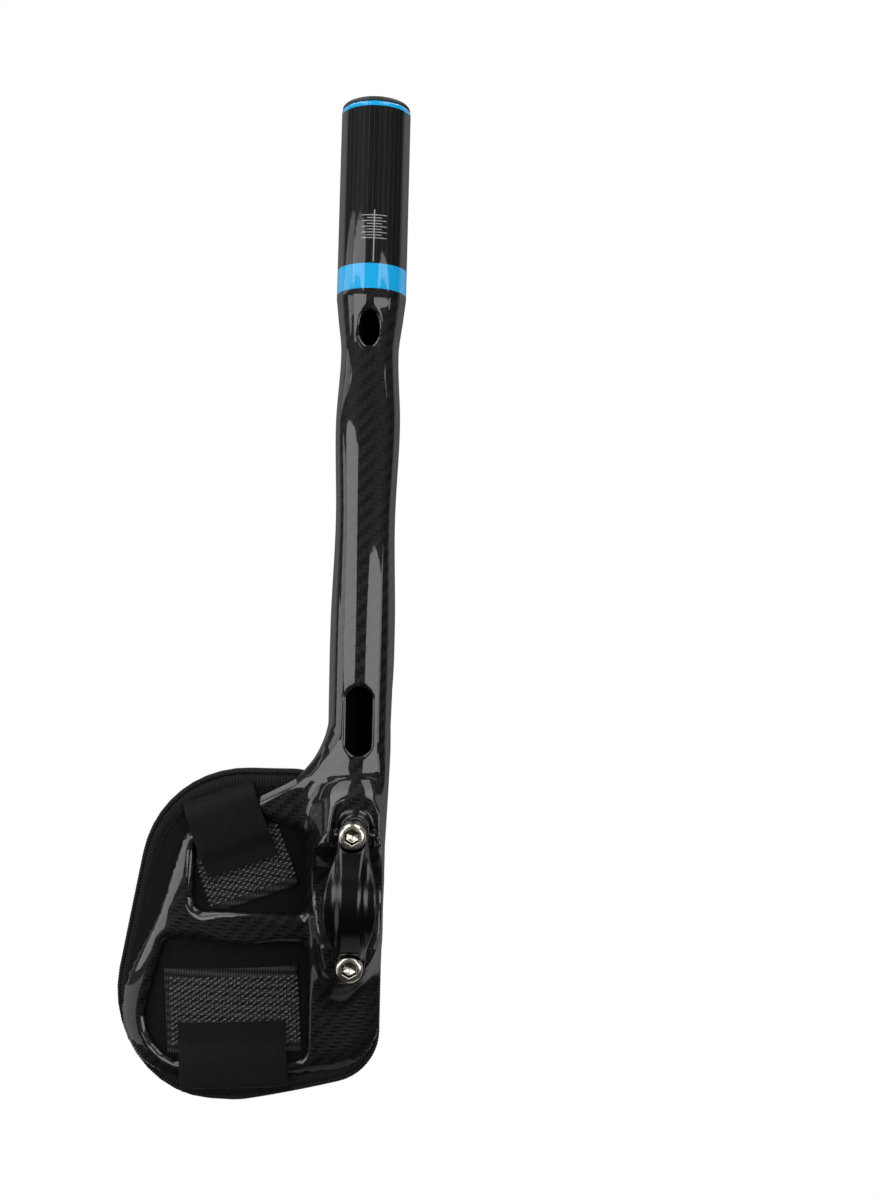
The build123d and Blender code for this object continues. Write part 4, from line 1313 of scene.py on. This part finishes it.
def studio_world():
    """White behind the object for the camera; a pale dome above and a dark room below for its reflections.
    The dome starts higher up ahead of the object and behind it than beside it."""
    world = bpy.data.worlds.new("studio")
    bpy.context.scene.world = world
    world.use_nodes = True
    tree = world.node_tree
    tree.nodes.clear()
    heading = node(tree, "ShaderNodeTexCoord").outputs["Generated"]
    _, ahead, up = node(tree, "ShaderNodeSeparateXYZ", {0: heading}).outputs
    dome = node(tree, "ShaderNodeValToRGB", {"Fac": up})
    ramp = dome.color_ramp.elements
    stops = [ramp[0], *(ramp.new(place) for place, _ in DOME_LEVELS[1:-1]), ramp[-1]]
    for stop, (place, level) in zip(stops, DOME_LEVELS):
        stop.position = place
        stop.color = (level, level, level, 1)
    ends = node(tree, "ShaderNodeMath", {0: ahead, 1: ahead}, operation="MULTIPLY")
    tilt = {0: ends, 1: DOME_END_RISE, 2: up}
    above_rim = node(tree, "ShaderNodeMath", tilt, operation="MULTIPLY_ADD")
    rim = {"Value": above_rim, "From Min": DOME_RIM[0], "From Max": DOME_RIM[1], "To Min": ROOM_LEVEL}
    strength = node(tree, "ShaderNodeMapRange", rim)
    dome = node(tree, "ShaderNodeBackground", {"Color": dome, "Strength": strength})
    white = node(tree, "ShaderNodeBackground", {"Color": (1, 1, 1, 1), "Strength": 1.0})
    seen = node(tree, "ShaderNodeLightPath").outputs["Is Camera Ray"]
    mix = node(tree, "ShaderNodeMixShader", {0: seen, 1: dome, 2: white})
    node(tree, "ShaderNodeOutputWorld", {"Surface": mix})


def pale_floor():
    """A pale floor under the clamp, which lets the view and the light from below through."""
    bpy.ops.mesh.primitive_plane_add(size=6, location=(0, 0, cad_low.z - 0.5 * MM))
    floor = bpy.context.object
    floor.name = "floor"
    material, tree, shader = finish_of("pale_floor", "e8e8e6", {"Roughness": 0.9})
    back = node(tree, "ShaderNodeNewGeometry").outputs["Backfacing"]
    through = node(tree, "ShaderNodeBsdfTransparent")
    mix = node(tree, "ShaderNodeMixShader", {0: back, 1: shader, 2: through})
    output = next(item for item in tree.nodes if item.type == "OUTPUT_MATERIAL")
    tree.links.new(mix.outputs[0], output.inputs["Surface"])
    floor.data.materials.append(material)
    floor.visible_glossy = False
    floor.visible_shadow = False
    floor.visible_diffuse = False


studio_world()
pale_floor()
soft_panel("left_panel", (0.885, 0.278, -0.8), (1.29, 0.46), 3.7, 9.7)
soft_panel("left_side_rear_panel", (1.6, 0.07, -0.35), (0.3, 0.9), 2.5, 90.0, UPRIGHT)
soft_panel("left_side_front_panel", (1.6, 0.36, -0.5), (0.28, 0.6), 2.5, 90.0, UPRIGHT)
soft_panel("right_panel", (-0.885, 0.118, -0.8), (1.43, 0.43), 3.7, -2.5)
soft_panel("right_side_panel", (-1.6, 0.17, -0.67), (0.43, 0.26), 2.5, -90.0, UPRIGHT)
soft_panel("grip_left_panel", (1.1, 0.7285, -0.8), (1.53, 0.065), 3.0, 12.4)
soft_panel("grip_right_panel", (-0.93, 0.666, -0.8), (1.16, 0.025), 3.0, -11.0)
soft_panel("grip_side_panel", (1.6, 0.715, -0.15), (0.1, 1.3), 1.6, 90.0, UPRIGHT, -12.4)
soft_panel("rail_panel", (1.6, -0.55, -0.1), (0.7, 1.2), 0.9, 90.0, UPRIGHT)
soft_panel("front_left_panel", (0.62, 1.0, -0.3), (0.7, 1.6), 3.0, 180.0, UPRIGHT)
soft_panel("front_right_panel", (-0.5, 1.0, -0.3), (0.6, 1.6), 3.0, 180.0, UPRIGHT)
soft_panel("rear_panel", (-0.45, -1.5, 0.4), (1.3, 2.2), 0.3, 0.0, UPRIGHT)
soft_panel("top_left_panel", (0.9, -0.3, 1.0), (0.8, 1.4), 2.5, pitch=FACING_DOWN, glossy=False)
soft_panel("top_right_panel", (-0.9, 0.3, 1.0), (0.8, 1.4), 2.5, pitch=FACING_DOWN, glossy=False)

camera = bpy.data.objects.new("camera", bpy.data.cameras.new("camera"))
bpy.context.scene.collection.objects.link(camera)
camera.data.lens = CAMERA_LENS
camera.data.clip_start = 0.01
roll_cos, roll_sin = math.cos(CAMERA_ROLL), math.sin(CAMERA_ROLL)
camera.matrix_world = Matrix((
    (-roll_cos, roll_sin, 0, CAMERA_PLACE[0]),
    (roll_sin, roll_cos, 0, CAMERA_PLACE[1]),
    (0, 0, -1, CAMERA_PLACE[2]),
    (0, 0, 0, 1),
))
bpy.context.scene.camera = camera
bpy.context.scene.view_settings.view_transform = "Standard"
